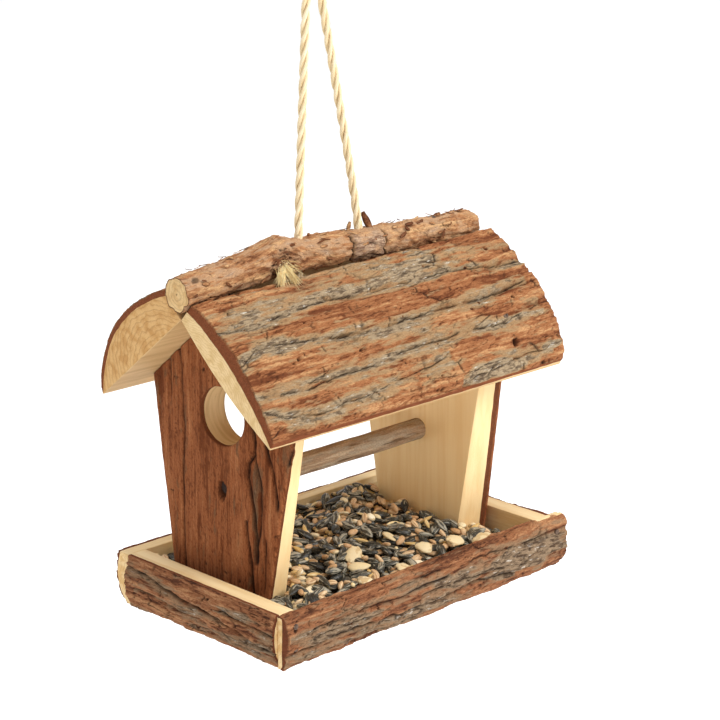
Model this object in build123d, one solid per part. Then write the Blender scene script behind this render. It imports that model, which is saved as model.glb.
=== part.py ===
from build123d import *
import math
import os

# Hanging bird feeder: a small house of barked timber on a shallow seed tray, hung by a rope loop.
# The ridge runs along X and the front long side faces -Y. Lengths are in millimetres. The house is
# drawn with Z = 0 at the underside of its tray. Every part is then lowered, so that the origin is
# the point on the inside of the rope loop where it hangs on its hook.

# Tray. The long boards run past the ends of the short ones.
tray_length = 209.0
tray_height = 29.0
front_face = 64.5
back_face = 54.5
end_board = 12.0
floor_thickness = 6.0
long_bark = (8.5, 11.0, 3.0)   # thickness of a long board at its top edge, middle and foot
short_bark = (12.0, 15.5, 10.5)  # the same for an end board

# Gable panels. Each is a slab off a log that stood upright, so its barked face is part of a cylinder.
left_gable_bark = -84.5        # outermost line of each panel's barked face
left_gable_inside = -67.5
left_log = (25.0, 330.0)       # how far the log's middle lay behind the ridge, its radius
right_gable_bark = 91.4
right_gable_inside = 63.0
right_log = (0.0, 120.0)
gable_middles = (-76.0, 72.5)  # where the nails and screws go in
# How far a panel reaches to each side of the ridge at its foot, and its growth for each mm of height.
gable_reach = (28.3, 0.174)
left_gable_back = (38.3, 0.150)
hole_height = 115.0
hole_radius = 16.0

# Roof
ridge_height = 171.7           # where the flat undersides of the two slabs meet
roof_pitch = 39.1
roof_chord = 85.0              # width of a slab's flat underside, down the slope
roof_left = -109.5
roof_right = 107.5
# Outer outline of a slab's end, from the ridge to the eave: distance down the slope, thickness.
back_left_end = [(1.5, 18.4), (12, 22), (33, 25.5), (57, 22.6), (76, 12), (84, 3.5)]
back_right_end = [(1.0, 18.0), (12, 21), (33, 24), (57, 21), (76, 12), (84, 3.5)]
front_left_end = [(0.8, 11.8), (12, 15.8), (36, 18.0), (57, 14.8), (75, 9.2), (84, 4.5)]
front_right_end = [(0.5, 18.0), (12, 21), (33, 23), (57, 19.8), (76, 12), (84, 4)]

# Ridge branch: place along X, height of its middle, radius. It bends up at a knot.
branch_stations = [
    (-111.5, 185.3, 9.1),
    (-81.0, 188.5, 9.2),
    (-57.0, 192.2, 9.7),
    (-45.0, 194.4, 10.3),
    (-30.0, 192.0, 9.3),
    (-5.0, 191.4, 8.6),
    (30.0, 190.0, 8.6),
    (65.0, 188.6, 8.8),
    (103.0, 187.2, 9.0),
]

# Crossbar
crossbar_height = 75.5
crossbar_radius = 6.0

# Rope. Its free part runs from one hole in the branch over the hook to the other hole.
rope_diameter = 4.2
hook_x = -16.8
hook_height = 331.3
swing_height = 206.0           # the house swings about a line along X at this height
swing_gap = 3.0                # room between the rope's parts for that swing
rope_hole_radius = 2.6
rope_x = (-28.4, 15.6)
rope_route = [                 # measured from the origin
    (-11.6, 0, -125.3),
    (-4.4, 0, 2.1),
    (3.9, 0, 2.1),
    (32.4, 0, -125.3),
]
knot_radius = 4.2
knot_height = 178.5
tail_route = [(rope_x[0], 0, knot_height), (-39, -1.5, 179), (-46.5, -7.8, 184), (-49, -12.5, 186)]
tail_bend = 3.2
fray_direction = (-0.15, -0.65, -0.7)
fray_length = 5.0
fray_radius = 2.8

# Seed
seed_front = 24.0
seed_crown = (10.0, 31.0)      # distance behind the middle, height
seed_back = 33.0
seed_gap = 0.3

# Fasteners: shank radius, head radius, head thickness, length
brad = (0.8, 1.5, 0.8, 26.0)
roof_nail = (1.1, 2.4, 1.0, 42.0)
ridge_nail = (1.1, 2.2, 1.0, 52.0)
screw = (1.7, 3.3, 2.4, 34.0)
bar_screw = (1.7, 3.3, 2.4, 42.0)
corner_nail_heights = (11.5, 23.5)
corner_nail_sink = 0.6         # how far each head is sunk into the bark
floor_nail_places = (-60.0, 60.0)
long_board_at_floor = 4.4      # thickness of each board at the height of the floor nails
short_board_at_floor = 11.4
roof_nail_places = (20.0, 56.0)
ridge_nail_sink = 0.5
gable_screw_places = (-15.0, 15.0)
screw_sink = 3.0
cut_margin = 1.0               # how far a cutting tool runs past the face that it cuts

end_face = tray_length / 2 - end_board
tray_width = front_face + back_face
tray_middle = (back_face - front_face) / 2
slope = math.radians(roof_pitch)


def slab_section(height, thicknesses):
    """Half-round section: flat inner face on the second axis, barked face bulging outwards."""
    top, middle, foot = thicknesses
    with BuildLine() as outline:
        Polyline((top, height), (0, height), (0, 0), (foot, 0))
        ThreePointArc((foot, 0), (middle, height / 2), (top, height))
    return make_face(outline.line)


def rim_board(inner_point, outwards, length, thicknesses):
    """A tray board that stands on the inner_point side of the rim, facing outwards."""
    along = Vector(outwards).cross(Vector(0, 0, 1))
    plane = Plane(origin=inner_point, x_dir=outwards, z_dir=along)
    section = plane * slab_section(tray_height, thicknesses)
    return extrude(section, amount=length / 2, dir=along, both=True)


def roof_point(side, down, thickness):
    """Y and Z of a point on a roof slab. side is -1 for the front slab and 1 for the back one."""
    y = side * (down * math.cos(slope) + thickness * math.sin(slope))
    z = ridge_height - down * math.sin(slope) + thickness * math.cos(slope)
    return y, z


def roof_end(side, x, outline):
    points = [(x, *roof_point(side, down, thickness)) for down, thickness in outline]
    apex = (x, 0, ridge_height)
    tip = (x, *roof_point(side, roof_chord, 0))
    with BuildLine() as edge:
        Polyline(points[0], apex, tip, points[-1])
        Spline(*points)
    return make_face(edge.line)


def roof_slab(side, left_end, right_end):
    return loft([roof_end(side, roof_left, left_end), roof_end(side, roof_right, right_end)])


def gable_shoulder(reach):
    """How far from the ridge, and how high, a panel's edge meets the underside of a slab."""
    foot, growth = reach
    out = (foot + growth * (ridge_height - floor_thickness)) / (1 + growth * math.tan(slope))
    return out, ridge_height - out * math.tan(slope)


def gable_panel(bark_face, inside, log_place, back_reach):
    """An end wall that widens upwards until it meets the slabs' undersides, with its round hole."""
    outwards = math.copysign(1, bark_face - inside)
    log_middle, log_radius = log_place
    front, front_height = gable_shoulder(gable_reach)
    back, back_height = gable_shoulder(back_reach)
    corners = [
        (-gable_reach[0], floor_thickness),
        (back_reach[0], floor_thickness),
        (back, back_height),
        (0, ridge_height),
        (-front, front_height),
    ]
    thickness = abs(bark_face - inside)
    with BuildLine() as outline:
        Polyline(*[(inside, y, z) for y, z in corners], close=True)
    panel = extrude(make_face(outline.line), amount=thickness + cut_margin, dir=(outwards, 0, 0))
    log_centre = Pos(bark_face - outwards * log_radius, log_middle, ridge_height / 2)
    log = log_centre * Cylinder(log_radius, ridge_height)
    middle = (bark_face + inside) / 2
    hole = Plane(origin=(middle, 0, hole_height), z_dir=(1, 0, 0)) * Cylinder(hole_radius, 2 * thickness)
    return (panel & log) - hole


def branch():
    rings = []
    for x, height, radius in branch_stations:
        rings.append(Plane(origin=(x, 0, height), z_dir=(1, 0, 0)) * Circle(radius))
    stick = loft(rings, ruled=True)
    for x in rope_x:
        stick -= Pos(x, 0, knot_height) * Cylinder(rope_hole_radius, hook_height - swing_height)
    return stick


def nail(sizes, head_point, direction):
    """A nail or screw whose head's outer face is centred on head_point and which points along direction."""
    shank, head, head_thickness, length = sizes
    plane = Plane(origin=head_point, z_dir=direction)
    rod = Cylinder(shank, length, align=(Align.CENTER, Align.CENTER, Align.MIN))
    cap = Cylinder(head, head_thickness, align=(Align.CENTER, Align.CENTER, Align.MIN))
    return plane * (rod + cap)


def countersunk(sizes, head_point, direction):
    shank, head, head_height, length = sizes
    plane = Plane(origin=head_point, z_dir=direction)
    rod = Cylinder(shank, length, align=(Align.CENTER, Align.CENTER, Align.MIN))
    cap = Cone(head, shank, head_height, align=(Align.CENTER, Align.CENTER, Align.MIN))
    return plane * (rod + cap)


def corner_nails():
    made = []
    for side, face in ((-1, front_face), (1, back_face)):
        for end in (-1, 1):
            for height in corner_nail_heights:
                start = (end * (end_face + end_board / 2), side * (face + long_bark[1] - corner_nail_sink), height)
                made.append(nail(brad, start, (0, -side, 0)))
    return made


def floor_nails():
    made = []
    height = floor_thickness / 2
    for x in floor_nail_places:
        made.append(nail(brad, (x, -front_face - long_board_at_floor, height), (0, 1, 0)))
        made.append(nail(brad, (x, back_face + long_board_at_floor, height), (0, -1, 0)))
    for end in (-1, 1):
        start = (end * (end_face + short_board_at_floor), tray_middle, height)
        made.append(nail(brad, start, (-end, 0, 0)))
    return made


def gable_screws():
    return [
        countersunk(screw, (x, y, 0), (0, 0, 1))
        for x in gable_middles
        for y in gable_screw_places
    ]


def crossbar_screws():
    return [
        countersunk(bar_screw, (left_gable_bark + screw_sink, 0, crossbar_height), (1, 0, 0)),
        countersunk(bar_screw, (right_gable_bark - screw_sink, 0, crossbar_height), (-1, 0, 0)),
    ]


def screw_pocket(face, inwards):
    """The hole above a sunk screw head."""
    head = bar_screw[1]
    plane = Plane(origin=(face - inwards * cut_margin, 0, crossbar_height), z_dir=(inwards, 0, 0))
    depth = screw_sink + cut_margin
    return plane * Cylinder(head, depth, align=(Align.CENTER, Align.CENTER, Align.MIN))


def outline_height(outline, down):
    """Thickness of a roof slab between two points of its outline."""
    for (first, low), (second, high) in zip(outline, outline[1:]):
        if first <= down <= second:
            return low + (high - low) * (down - first) / (second - first)
    return outline[-1][1]


def roof_nails():
    made = []
    for side, left_end, right_end in (
        (-1, front_left_end, front_right_end),
        (1, back_left_end, back_right_end),
    ):
        for x in gable_middles:
            share = (x - roof_left) / (roof_right - roof_left)
            for down in roof_nail_places:
                left, right = outline_height(left_end, down), outline_height(right_end, down)
                thickness = left + share * (right - left)
                inwards = (0, -side * math.sin(slope), -math.cos(slope))
                made.append(nail(roof_nail, (x, *roof_point(side, down, thickness)), inwards))
    return made


def ridge_nails():
    made = []
    for x in gable_middles:
        before = [s for s in branch_stations if s[0] <= x][-1]
        after = [s for s in branch_stations if s[0] > x][0]
        share = (x - before[0]) / (after[0] - before[0])
        top = (1 - share) * (before[1] + before[2]) + share * (after[1] + after[2])
        made.append(nail(ridge_nail, (x, 0, top - ridge_nail_sink), (0, 0, -1)))
    return made


def rope_tube():
    """The free rope, with its arcs as large as the hook and the runs allow."""
    route = [Vector(*point) for point in rope_route]
    radii = []
    for before, corner, after in zip(route, route[1:], route[2:]):
        turn = (corner - before).get_angle(after - corner)
        shorter = min((corner - before).length, (after - corner).length)
        radii.append(0.45 * shorter / math.tan(math.radians(turn / 2)))
    path = FilletPolyline(*route, radius=radii)
    print("rope radii", [round(r, 2) for r in radii], "length", round(path.length, 1))
    start = Plane(origin=path @ 0, z_dir=path % 0)
    tube = sweep(start * Circle(rope_diameter / 2), path=path)
    expected = math.pi * (rope_diameter / 2) ** 2 * path.length
    print("rope volume", round(tube.volume, 1), "expected", round(expected, 1))
    return tube


def rope_end(x):
    """A rope end through the branch: a straight piece in its hole, and the knot under it."""
    top = swing_height - swing_gap
    straight = Pos(x, 0, knot_height) * Cylinder(
        rope_diameter / 2, top - knot_height, align=(Align.CENTER, Align.CENTER, Align.MIN)
    )
    return straight + Pos(x, 0, knot_height) * Sphere(knot_radius)


def frayed_tail():
    path = FilletPolyline(*tail_route, radius=tail_bend)
    start = Plane(origin=path @ 0, z_dir=path % 0)
    tube = sweep(start * Circle(rope_diameter / 2), path=path)
    brush = Plane(origin=path @ 1, z_dir=fray_direction) * Cone(
        rope_diameter / 2, fray_radius, fray_length, align=(Align.CENTER, Align.CENTER, Align.MIN)
    )
    return tube + brush


def seed():
    """The heaped seed between the gables, lower in front than behind."""
    front, back = -front_face + seed_gap, back_face - seed_gap
    left, right = left_gable_inside + seed_gap, right_gable_inside - seed_gap
    floor = floor_thickness + seed_gap
    corners = [(front, floor), (back, floor), (back, seed_back), seed_crown, (front, seed_front)]
    with BuildLine() as outline:
        Polyline(*[(left, y, z) for y, z in corners], close=True)
    return extrude(make_face(outline.line), amount=right - left, dir=(1, 0, 0))


def without(body, tools):
    for tool in tools:
        body = body - tool
    return body


def joined(solids):
    return Compound(children=[s.solid() for s in solids])


corner, floor_pins = corner_nails(), floor_nails()
wall_screws, bar_screws = gable_screws(), crossbar_screws()
slab_nails, stick_nails = roof_nails(), ridge_nails()

floor_board = Pos(0, tray_middle, floor_thickness / 2) * Box(2 * end_face, tray_width, floor_thickness)
front_board = rim_board((0, -front_face, 0), (0, -1, 0), tray_length, long_bark)
back_board = rim_board((0, back_face, 0), (0, 1, 0), tray_length, long_bark)
left_board = rim_board((-end_face, tray_middle, 0), (-1, 0, 0), tray_width, short_bark)
right_board = rim_board((end_face, tray_middle, 0), (1, 0, 0), tray_width, short_bark)
left_gable = gable_panel(left_gable_bark, left_gable_inside, left_log, left_gable_back)
left_gable -= screw_pocket(left_gable_bark, 1)
right_gable = gable_panel(right_gable_bark, right_gable_inside, right_log, gable_reach)
right_gable -= screw_pocket(right_gable_bark, -1)
bar = Plane(origin=(left_gable_inside, 0, crossbar_height), z_dir=(1, 0, 0)) * Cylinder(
    crossbar_radius, right_gable_inside - left_gable_inside, align=(Align.CENTER, Align.CENTER, Align.MIN)
)

nodes = {
    "tray_floor": without(floor_board, floor_pins + wall_screws),
    "tray_front_board": without(front_board, corner + floor_pins),
    "tray_back_board": without(back_board, corner + floor_pins),
    "tray_left_board": without(left_board, corner + floor_pins),
    "tray_right_board": without(right_board, corner + floor_pins),
    "left_gable_panel": without(left_gable, wall_screws + bar_screws + slab_nails + stick_nails),
    "right_gable_panel": without(right_gable, wall_screws + bar_screws + slab_nails + stick_nails),
    "crossbar": without(bar, bar_screws),
    "front_roof_slab": without(roof_slab(-1, front_left_end, front_right_end), slab_nails + stick_nails),
    "back_roof_slab": without(roof_slab(1, back_left_end, back_right_end), slab_nails + stick_nails),
    "ridge_branch": without(branch(), stick_nails),
    "tray_corner_nails": joined(corner),
    "floor_nails": joined(floor_pins),
    "gable_screws": joined(wall_screws),
    "crossbar_screws": joined(bar_screws),
    "roof_nails": joined(slab_nails),
    "ridge_nails": joined(stick_nails),
    "rope_end_left": rope_end(rope_x[0]) + frayed_tail(),
    "rope_end_right": rope_end(rope_x[1]),
    "seed_fill": seed(),
}

os.makedirs("parts", exist_ok=True)
lowered = Pos(-hook_x, 0, -hook_height)
for name, shape in nodes.items():
    export_step(lowered * shape, f"parts/{name}.step")
export_step(rope_tube(), "parts/rope_loop.step")
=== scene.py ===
"""A hanging bird feeder of barked timber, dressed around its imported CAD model.

Shapes are worked out in millimetres in the house's own coordinates: X along the ridge, Y from the
front long side to the back, Z up from the underside of the tray, with Y = 0 under the ridge.
place() turns them into metres in the frame that the CAD model uses.
"""

import math

import bpy
import numpy as np
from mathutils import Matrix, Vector


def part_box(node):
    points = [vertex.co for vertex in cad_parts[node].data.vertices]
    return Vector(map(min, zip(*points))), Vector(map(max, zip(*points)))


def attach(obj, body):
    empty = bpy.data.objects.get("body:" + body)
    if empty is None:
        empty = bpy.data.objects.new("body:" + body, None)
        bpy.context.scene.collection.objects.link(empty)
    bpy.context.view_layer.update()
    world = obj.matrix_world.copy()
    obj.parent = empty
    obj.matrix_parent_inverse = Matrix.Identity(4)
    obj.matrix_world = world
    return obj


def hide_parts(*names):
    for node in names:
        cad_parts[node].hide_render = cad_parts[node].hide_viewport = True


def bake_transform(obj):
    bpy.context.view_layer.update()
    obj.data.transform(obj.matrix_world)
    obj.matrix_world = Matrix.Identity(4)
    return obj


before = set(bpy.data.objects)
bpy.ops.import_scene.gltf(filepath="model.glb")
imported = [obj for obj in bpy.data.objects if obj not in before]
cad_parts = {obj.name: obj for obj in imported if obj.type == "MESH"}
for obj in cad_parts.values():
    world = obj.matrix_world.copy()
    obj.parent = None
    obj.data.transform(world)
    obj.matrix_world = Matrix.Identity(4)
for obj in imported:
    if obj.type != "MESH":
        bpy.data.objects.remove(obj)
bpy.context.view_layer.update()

MM = 0.001
floor_low, floor_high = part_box("tray_floor")
HOUSE_ORIGIN = np.array([(floor_low.x + floor_high.x) / 2, 0.0, floor_low.z])


def place(points):
    """Points in house millimetres as metres in the CAD model's frame."""
    return HOUSE_ORIGIN + np.asarray(points, float) * MM


def house_box(node):
    """Lowest and highest corner of a CAD node in the house's own millimetres."""
    low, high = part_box(node)
    return (np.array(low) - HOUSE_ORIGIN) / MM, (np.array(high) - HOUSE_ORIGIN) / MM


# ---------------------------------------------------------------- noise and curves


def hashed(cells, seed):
    """Three repeatable random numbers from -1 to 1 for each cell of a lattice."""
    key = cells[..., 0] * 73856093 ^ cells[..., 1] * 19349663 ^ cells[..., 2] * 83492791
    key = (key ^ seed * 2654435761) & 0xFFFFFFFF
    numbers = []
    for factor in (2246822519, 3266489917, 668265263):
        key = ((key ^ (key >> 15)) * factor) & 0xFFFFFFFF
        key = key ^ (key >> 13)
        numbers.append((key & 0xFFFF) / 32767.5 - 1)
    return np.stack(numbers, -1)


def noise3(points, size, seed):
    """Smooth random field, about -1 to 1. size is the size of its features along each axis."""
    scaled = np.asarray(points, float) / np.asarray(size, float)
    cell = np.floor(scaled).astype(np.int64)
    inside = scaled - cell
    fade = inside**3 * (inside * (inside * 6 - 15) + 10)
    total = np.zeros(scaled.shape[:-1])
    for corner in np.ndindex(2, 2, 2):
        offset = np.array(corner)
        gradient = hashed(cell + offset, seed)
        weight = np.prod(np.where(offset, fade, 1 - fade), -1)
        total += weight * ((inside - offset) * gradient).sum(-1)
    return total * 1.6


def noise(s, t, size, seed):
    """The same over two axes, which broadcast together."""
    points = np.stack(np.broadcast_arrays(s, t, np.float64(seed % 7) + 0.37), -1)
    return noise3(points, (size[0], size[1], 1.0), seed)


def layered(s, t, size, seed):
    """Noise with two finer and weaker layers on top."""
    total = 0.0
    for layer in range(3):
        finer = 2.1**layer
        total = total + noise(s, t, (size[0] / finer, size[1] / finer), seed + 31 * layer) / 1.8**layer
    return total


def plates(s, t, size, seed):
    """Cells of that size: how near each point is to a border, 0 on it, and a number for its cell."""
    across = np.stack([s / size[0], t / size[1]], -1)
    base = np.floor(across).astype(np.int64)
    nearest = np.full(s.shape, 9.0)
    second = np.full(s.shape, 9.0)
    value = np.zeros(s.shape)
    for shift in np.ndindex(3, 3):
        cell = base + np.array(shift) - 1
        lattice = np.concatenate([cell, np.zeros(cell.shape[:-1] + (1,), np.int64)], -1)
        drawn = hashed(lattice, seed)
        away = np.linalg.norm(cell + 0.5 + 0.42 * drawn[..., :2] - across, axis=-1)
        closer = away < nearest
        second = np.where(closer, nearest, np.minimum(second, away))
        value = np.where(closer, drawn[..., 2], value)
        nearest = np.where(closer, away, nearest)
    return second - nearest, value


def ramp(low, high, values):
    """0 below low, 1 above high, and smooth between."""
    share = np.clip((values - low) / (high - low), 0, 1)
    return share * share * (3 - 2 * share)


def peak(away, reach):
    """1 where away is 0, falling off smoothly within about that reach."""
    return np.exp(-((away / reach) ** 2))


def unit(vectors):
    return vectors / np.maximum(np.linalg.norm(vectors, axis=-1, keepdims=True), 1e-12)


def lengths_along(line):
    """How far along a line each of its points is."""
    return np.concatenate([[0], np.cumsum(np.linalg.norm(np.diff(line, axis=0), axis=1))])


def at_lengths(line, wanted):
    """Points of a line that far along it."""
    run = lengths_along(line)
    return np.stack([np.interp(wanted, run, column) for column in line.T], -1)


def smooth_line(points, shares):
    """Points at those shares of the length of a smooth curve through the given points."""
    given = np.asarray(points, float)
    ends = np.vstack([2 * given[0] - given[1], given, 2 * given[-1] - given[-2]])
    u = np.linspace(0, 1, 20, endpoint=False)[:, None]
    line = []
    for a, b, c, d in zip(ends, ends[1:], ends[2:], ends[3:]):
        line.append(
            0.5 * (2 * b + (c - a) * u + (2 * a - 5 * b + 4 * c - d) * u**2 + (3 * (b - c) + d - a) * u**3)
        )
    line = np.vstack(line + [given[-1:]])
    return at_lengths(line, np.asarray(shares) * lengths_along(line)[-1])


ROW_AT_EDGE = 0.45  # how far the row beside each end is from it


def rows(length, step):
    """Shares of a length, evenly spaced, with one more row close to each end."""
    count = max(2, round(length / step))
    even = np.linspace(0, 1, count + 1)
    close = ROW_AT_EDGE / length
    return np.concatenate([[0, close], even[1:-1], [1 - close, 1]])


# ---------------------------------------------------------------- materials


def rgb(red, green, blue):
    """A screen colour, 0 to 255, as the linear colour that a shader takes."""
    linear = []
    for value in (red, green, blue):
        value = value / 255
        linear.append(value / 12.92 if value <= 0.04045 else ((value + 0.055) / 1.055) ** 2.4)
    return (*linear, 1.0)


def add(tree, kind, inputs=None, **settings):
    """A shader node with its settings and inputs. An input is a value, or another node's output."""
    made = tree.nodes.new("ShaderNode" + kind)
    for key, value in settings.items():
        setattr(made, key, value)
    for key, value in (inputs or {}).items():
        if isinstance(value, bpy.types.NodeSocket):
            tree.links.new(value, made.inputs[key])
        else:
            made.inputs[key].default_value = value
    return made


def mixed(tree, share, first, second, blend="MIX"):
    """A mix of two colours, each a screen colour or another node's output."""
    first, second = (rgb(*colour) if isinstance(colour, tuple) else colour for colour in (first, second))
    made = add(tree, "Mix", {0: share, 6: first, 7: second}, data_type="RGBA", blend_type=blend)
    return made.outputs[2]


def maths(tree, operation, *values):
    return add(tree, "Math", dict(enumerate(values)), operation=operation).outputs[0]


def varied(tree, value, field, amount):
    """A value that a field from 0 to 1 moves up or down by at most half that amount."""
    return maths(tree, "ADD", value, maths(tree, "MULTIPLY_ADD", field, amount, -0.5 * amount))


def fitted(tree, value, low, high, out_low=0.0, out_high=1.0):
    """A value's smooth way from low to high, as out_low to out_high."""
    inputs = {0: value, 1: low, 2: high, 3: out_low, 4: out_high}
    return add(tree, "MapRange", inputs, interpolation_type="SMOOTHSTEP").outputs[0]


def stored(tree, name):
    """A number stored on the mesh."""
    return add(tree, "Attribute", attribute_name=name).outputs["Fac"]


def speckle(tree, size, detail=3.0, seed=0.0, roughness=0.55, coordinates="grain"):
    """Noise over the mesh's own grain coordinates, in millimetres along, across and into the wood.

    A CAD node has no such coordinates, so its material takes "Object" ones, which are in metres.
    """
    if coordinates == "grain":
        grain = add(tree, "Attribute", attribute_name="grain").outputs["Vector"]
        scale = tuple(1 / length for length in size)
    else:
        grain = add(tree, "TexCoord").outputs[coordinates]
        scale = tuple(1 / (MM * length) for length in size)
    moved = add(tree, "Mapping", {"Vector": grain, "Location": (seed, seed, seed), "Scale": scale})
    inputs = {"Vector": moved.outputs[0], "Scale": 1.0, "Detail": detail, "Roughness": roughness}
    return add(tree, "TexNoise", inputs).outputs["Fac"]


def new_material(name, roughness):
    material = bpy.data.materials.new(name)
    material.use_nodes = True
    tree = material.node_tree
    shader = tree.nodes["Principled BSDF"]
    shader.inputs["Roughness"].default_value = roughness
    shader.inputs["Specular IOR Level"].default_value = 0.25
    return material, tree, shader


def finish_surface(tree, shader, colour, height, depth):
    """Gives a shader its colour, and a bump from height, which is depth metres high."""
    tree.links.new(colour, shader.inputs["Base Color"])
    bump = add(tree, "Bump", {"Strength": 1.0, "Distance": depth, "Height": height})
    tree.links.new(bump.outputs[0], shader.inputs["Normal"])


# Near-black brown for the bark's dark cracks, and for the painted shade in its hollows and under its
# ledges.
CRACK_AND_PAINTED_SHADE_COLOUR = (34, 22, 16)


def bark_material(name, dark, middle, pale, tan, crust, cut, fibre=3.4, blotch=0.9):
    """Bark whose flakes, crust, cracks, painted shade and sawn edge come from values stored on the mesh.

    crust holds the dark, middle and pale colours of the rough outer crust, fibre is the length of
    the finest fibres and blotch how strongly the colour varies over a few millimetres.
    """
    material, tree, shader = new_material(name, 0.9)
    shader.inputs["Specular IOR Level"].default_value = 0.1
    coarse = speckle(tree, (9.0, 1.9, 1.9), 5.0, 3.0)
    fine = speckle(tree, (fibre, 0.45, 0.45), 4.0, 11.0)
    grit = speckle(tree, (1.3, 0.5, 0.5), 3.0, 23.0)
    clump = speckle(tree, (6.5, 1.5, 1.5), 5.0, 37.0, 0.6)
    fleck = speckle(tree, (6.0, 1.5, 1.5), 5.0, 61.0, 0.62)
    streak = speckle(tree, (38.0, 1.8, 1.8), 3.0, 51.0)
    tone = varied(tree, varied(tree, stored(tree, "tone"), coarse, blotch), streak, 1.2)
    tone = varied(tree, tone, fine, 0.9)
    colour = mixed(tree, fitted(tree, tone, 0.1, 0.5), dark, middle)
    colour = mixed(tree, fitted(tree, tone, 0.5, 0.95), colour, pale)
    lichen = varied(tree, stored(tree, "lichen"), clump, 0.7)
    rough = mixed(tree, fitted(tree, clump, 0.39, 0.52), crust[0], crust[1])
    rough = mixed(tree, fitted(tree, fleck, 0.57, 0.7), rough, crust[2])
    rough = mixed(tree, fitted(tree, coarse, 0.36, 0.5, 0.75, 0.0), rough, crust[0])
    colour = mixed(tree, fitted(tree, lichen, 0.12, 0.38), colour, tan)
    colour = mixed(tree, fitted(tree, lichen, 0.40, 0.62), colour, rough)
    side = mixed(tree, fitted(tree, fine, 0.35, 0.7), cut, dark)
    side = mixed(tree, fitted(tree, coarse, 0.4, 0.62), side, cut)
    colour = mixed(tree, stored(tree, "cut"), colour, side)
    shade = fitted(tree, grit, 0.3, 0.72, 0.7, 1.12)
    shade = add(tree, "CombineColor", {0: shade, 1: shade, 2: shade}).outputs[0]
    colour = mixed(tree, 0.8, colour, shade, "MULTIPLY")
    # One colour for the dark cracks, and for painted shade in furrows, seams, pits, crust hollows and under
    # ledges.
    colour = mixed(tree, stored(tree, "crack_and_painted_shade"), colour, CRACK_AND_PAINTED_SHADE_COLOUR)
    height = maths(tree, "ADD", maths(tree, "MULTIPLY", fine, 0.7), maths(tree, "MULTIPLY", clump, 0.9))
    height = maths(tree, "ADD", height, maths(tree, "MULTIPLY", grit, 0.6))
    finish_surface(tree, shader, colour, height, 0.0008)
    return material


ALONG_GRAIN = ((90.0, 4.5, 4.5), (26.0, 0.55, 0.55), (0.5, 9.0, 9.0))
AROUND_BORE = ((30.0, 30.0, 3.0), (14.0, 14.0, 0.5), (3.0, 3.0, 1.2))


def wood_material(name, pale, dark, line, streak=0.5, coordinates="grain", sizes=ALONG_GRAIN):
    """A sawn face: long faint streaks, fine pores and tool marks, each with its own feature size."""
    material, tree, shader = new_material(name, 0.62)
    broad = speckle(tree, sizes[0], 3.0, 5.0, coordinates=coordinates)
    fine = speckle(tree, sizes[1], 4.0, 9.0, 0.65, coordinates)
    saw = speckle(tree, sizes[2], 2.0, 2.0, coordinates=coordinates)
    colour = mixed(tree, fitted(tree, broad, 0.35, 0.7), pale, dark)
    colour = mixed(tree, fitted(tree, fine, 0.56, 0.8, 0.0, streak), colour, line)
    height = maths(tree, "ADD", fine, maths(tree, "MULTIPLY", saw, 0.5))
    finish_surface(tree, shader, colour, height, 0.00016)
    return material


def end_material(name, pale, dark, pore, pith, ring=2.2, rings=0.35):
    """End grain: pores, and growth rings a ring apart about the log's middle, pith, that strong."""
    material, tree, shader = new_material(name, 0.7)
    grain = add(tree, "Attribute", attribute_name="grain").outputs["Vector"]
    wobble = speckle(tree, (30.0, 11.0, 11.0), 4.0, 4.0)
    across = add(tree, "SeparateXYZ", {0: grain})
    side = maths(tree, "SUBTRACT", across.outputs[1], pith[0])
    deep = maths(tree, "SUBTRACT", across.outputs[2], pith[1])
    squares = maths(tree, "ADD", maths(tree, "POWER", side, 2.0), maths(tree, "POWER", deep, 2.0))
    radius = maths(tree, "SQRT", squares)
    radius = maths(tree, "ADD", radius, maths(tree, "MULTIPLY", wobble, 9.0))
    wave = maths(tree, "FRACT", maths(tree, "DIVIDE", radius, ring))
    pores = speckle(tree, (0.42, 0.42, 0.42), 3.0, 7.0, 0.7)
    blotch = speckle(tree, (12.0, 6.0, 6.0), 3.0, 1.0)
    colour = mixed(tree, fitted(tree, blotch, 0.38, 0.66), pale, dark)
    colour = mixed(tree, fitted(tree, wave, 0.6, 1.0, 0.0, rings), colour, pore)
    colour = mixed(tree, fitted(tree, pores, 0.56, 0.74, 0.0, 0.75), colour, pore)
    finish_surface(tree, shader, colour, maths(tree, "ADD", pores, wave), 0.00018)
    return material


CRUST = ((106, 88, 70), (170, 148, 118), (222, 214, 198))
DARK_CRUST = ((84, 66, 52), (152, 128, 102), (220, 210, 196))
PALE_CRUST = ((132, 100, 80), (186, 154, 126), (214, 190, 162))
BROWN_CRUST = ((72, 50, 36), (116, 86, 62), (150, 120, 92))
roof_bark = bark_material(
    "roof_bark", (116, 66, 40), (162, 106, 68), (198, 150, 104), (170, 136, 98), CRUST, (140, 80, 50)
)
tray_bark = bark_material(
    "tray_bark", (98, 60, 42), (150, 98, 66), (184, 134, 94), (154, 120, 90), DARK_CRUST, (122, 68, 44)
)
gable_bark = bark_material(
    "gable_bark", (114, 62, 34), (154, 92, 56), (180, 118, 76), (126, 86, 58), BROWN_CRUST, (118, 68, 42),
    fibre=14.0, blotch=0.45,
)
stick_bark = bark_material(
    "stick_bark", (112, 68, 44), (174, 122, 82), (214, 170, 122), (190, 150, 114), PALE_CRUST, (120, 72, 48)
)
bar_bark = bark_material(
    "bar_bark", (138, 110, 84), (186, 154, 122), (214, 188, 156), (188, 168, 142), CRUST, (140, 104, 76),
    fibre=12.0,
)
sawn_wood = wood_material("sawn_wood", (242, 216, 168), (228, 194, 140), (196, 152, 100))
gable_wood = wood_material("gable_wood", (255, 222, 166), (248, 210, 150), (222, 180, 122), 0.2)
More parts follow.
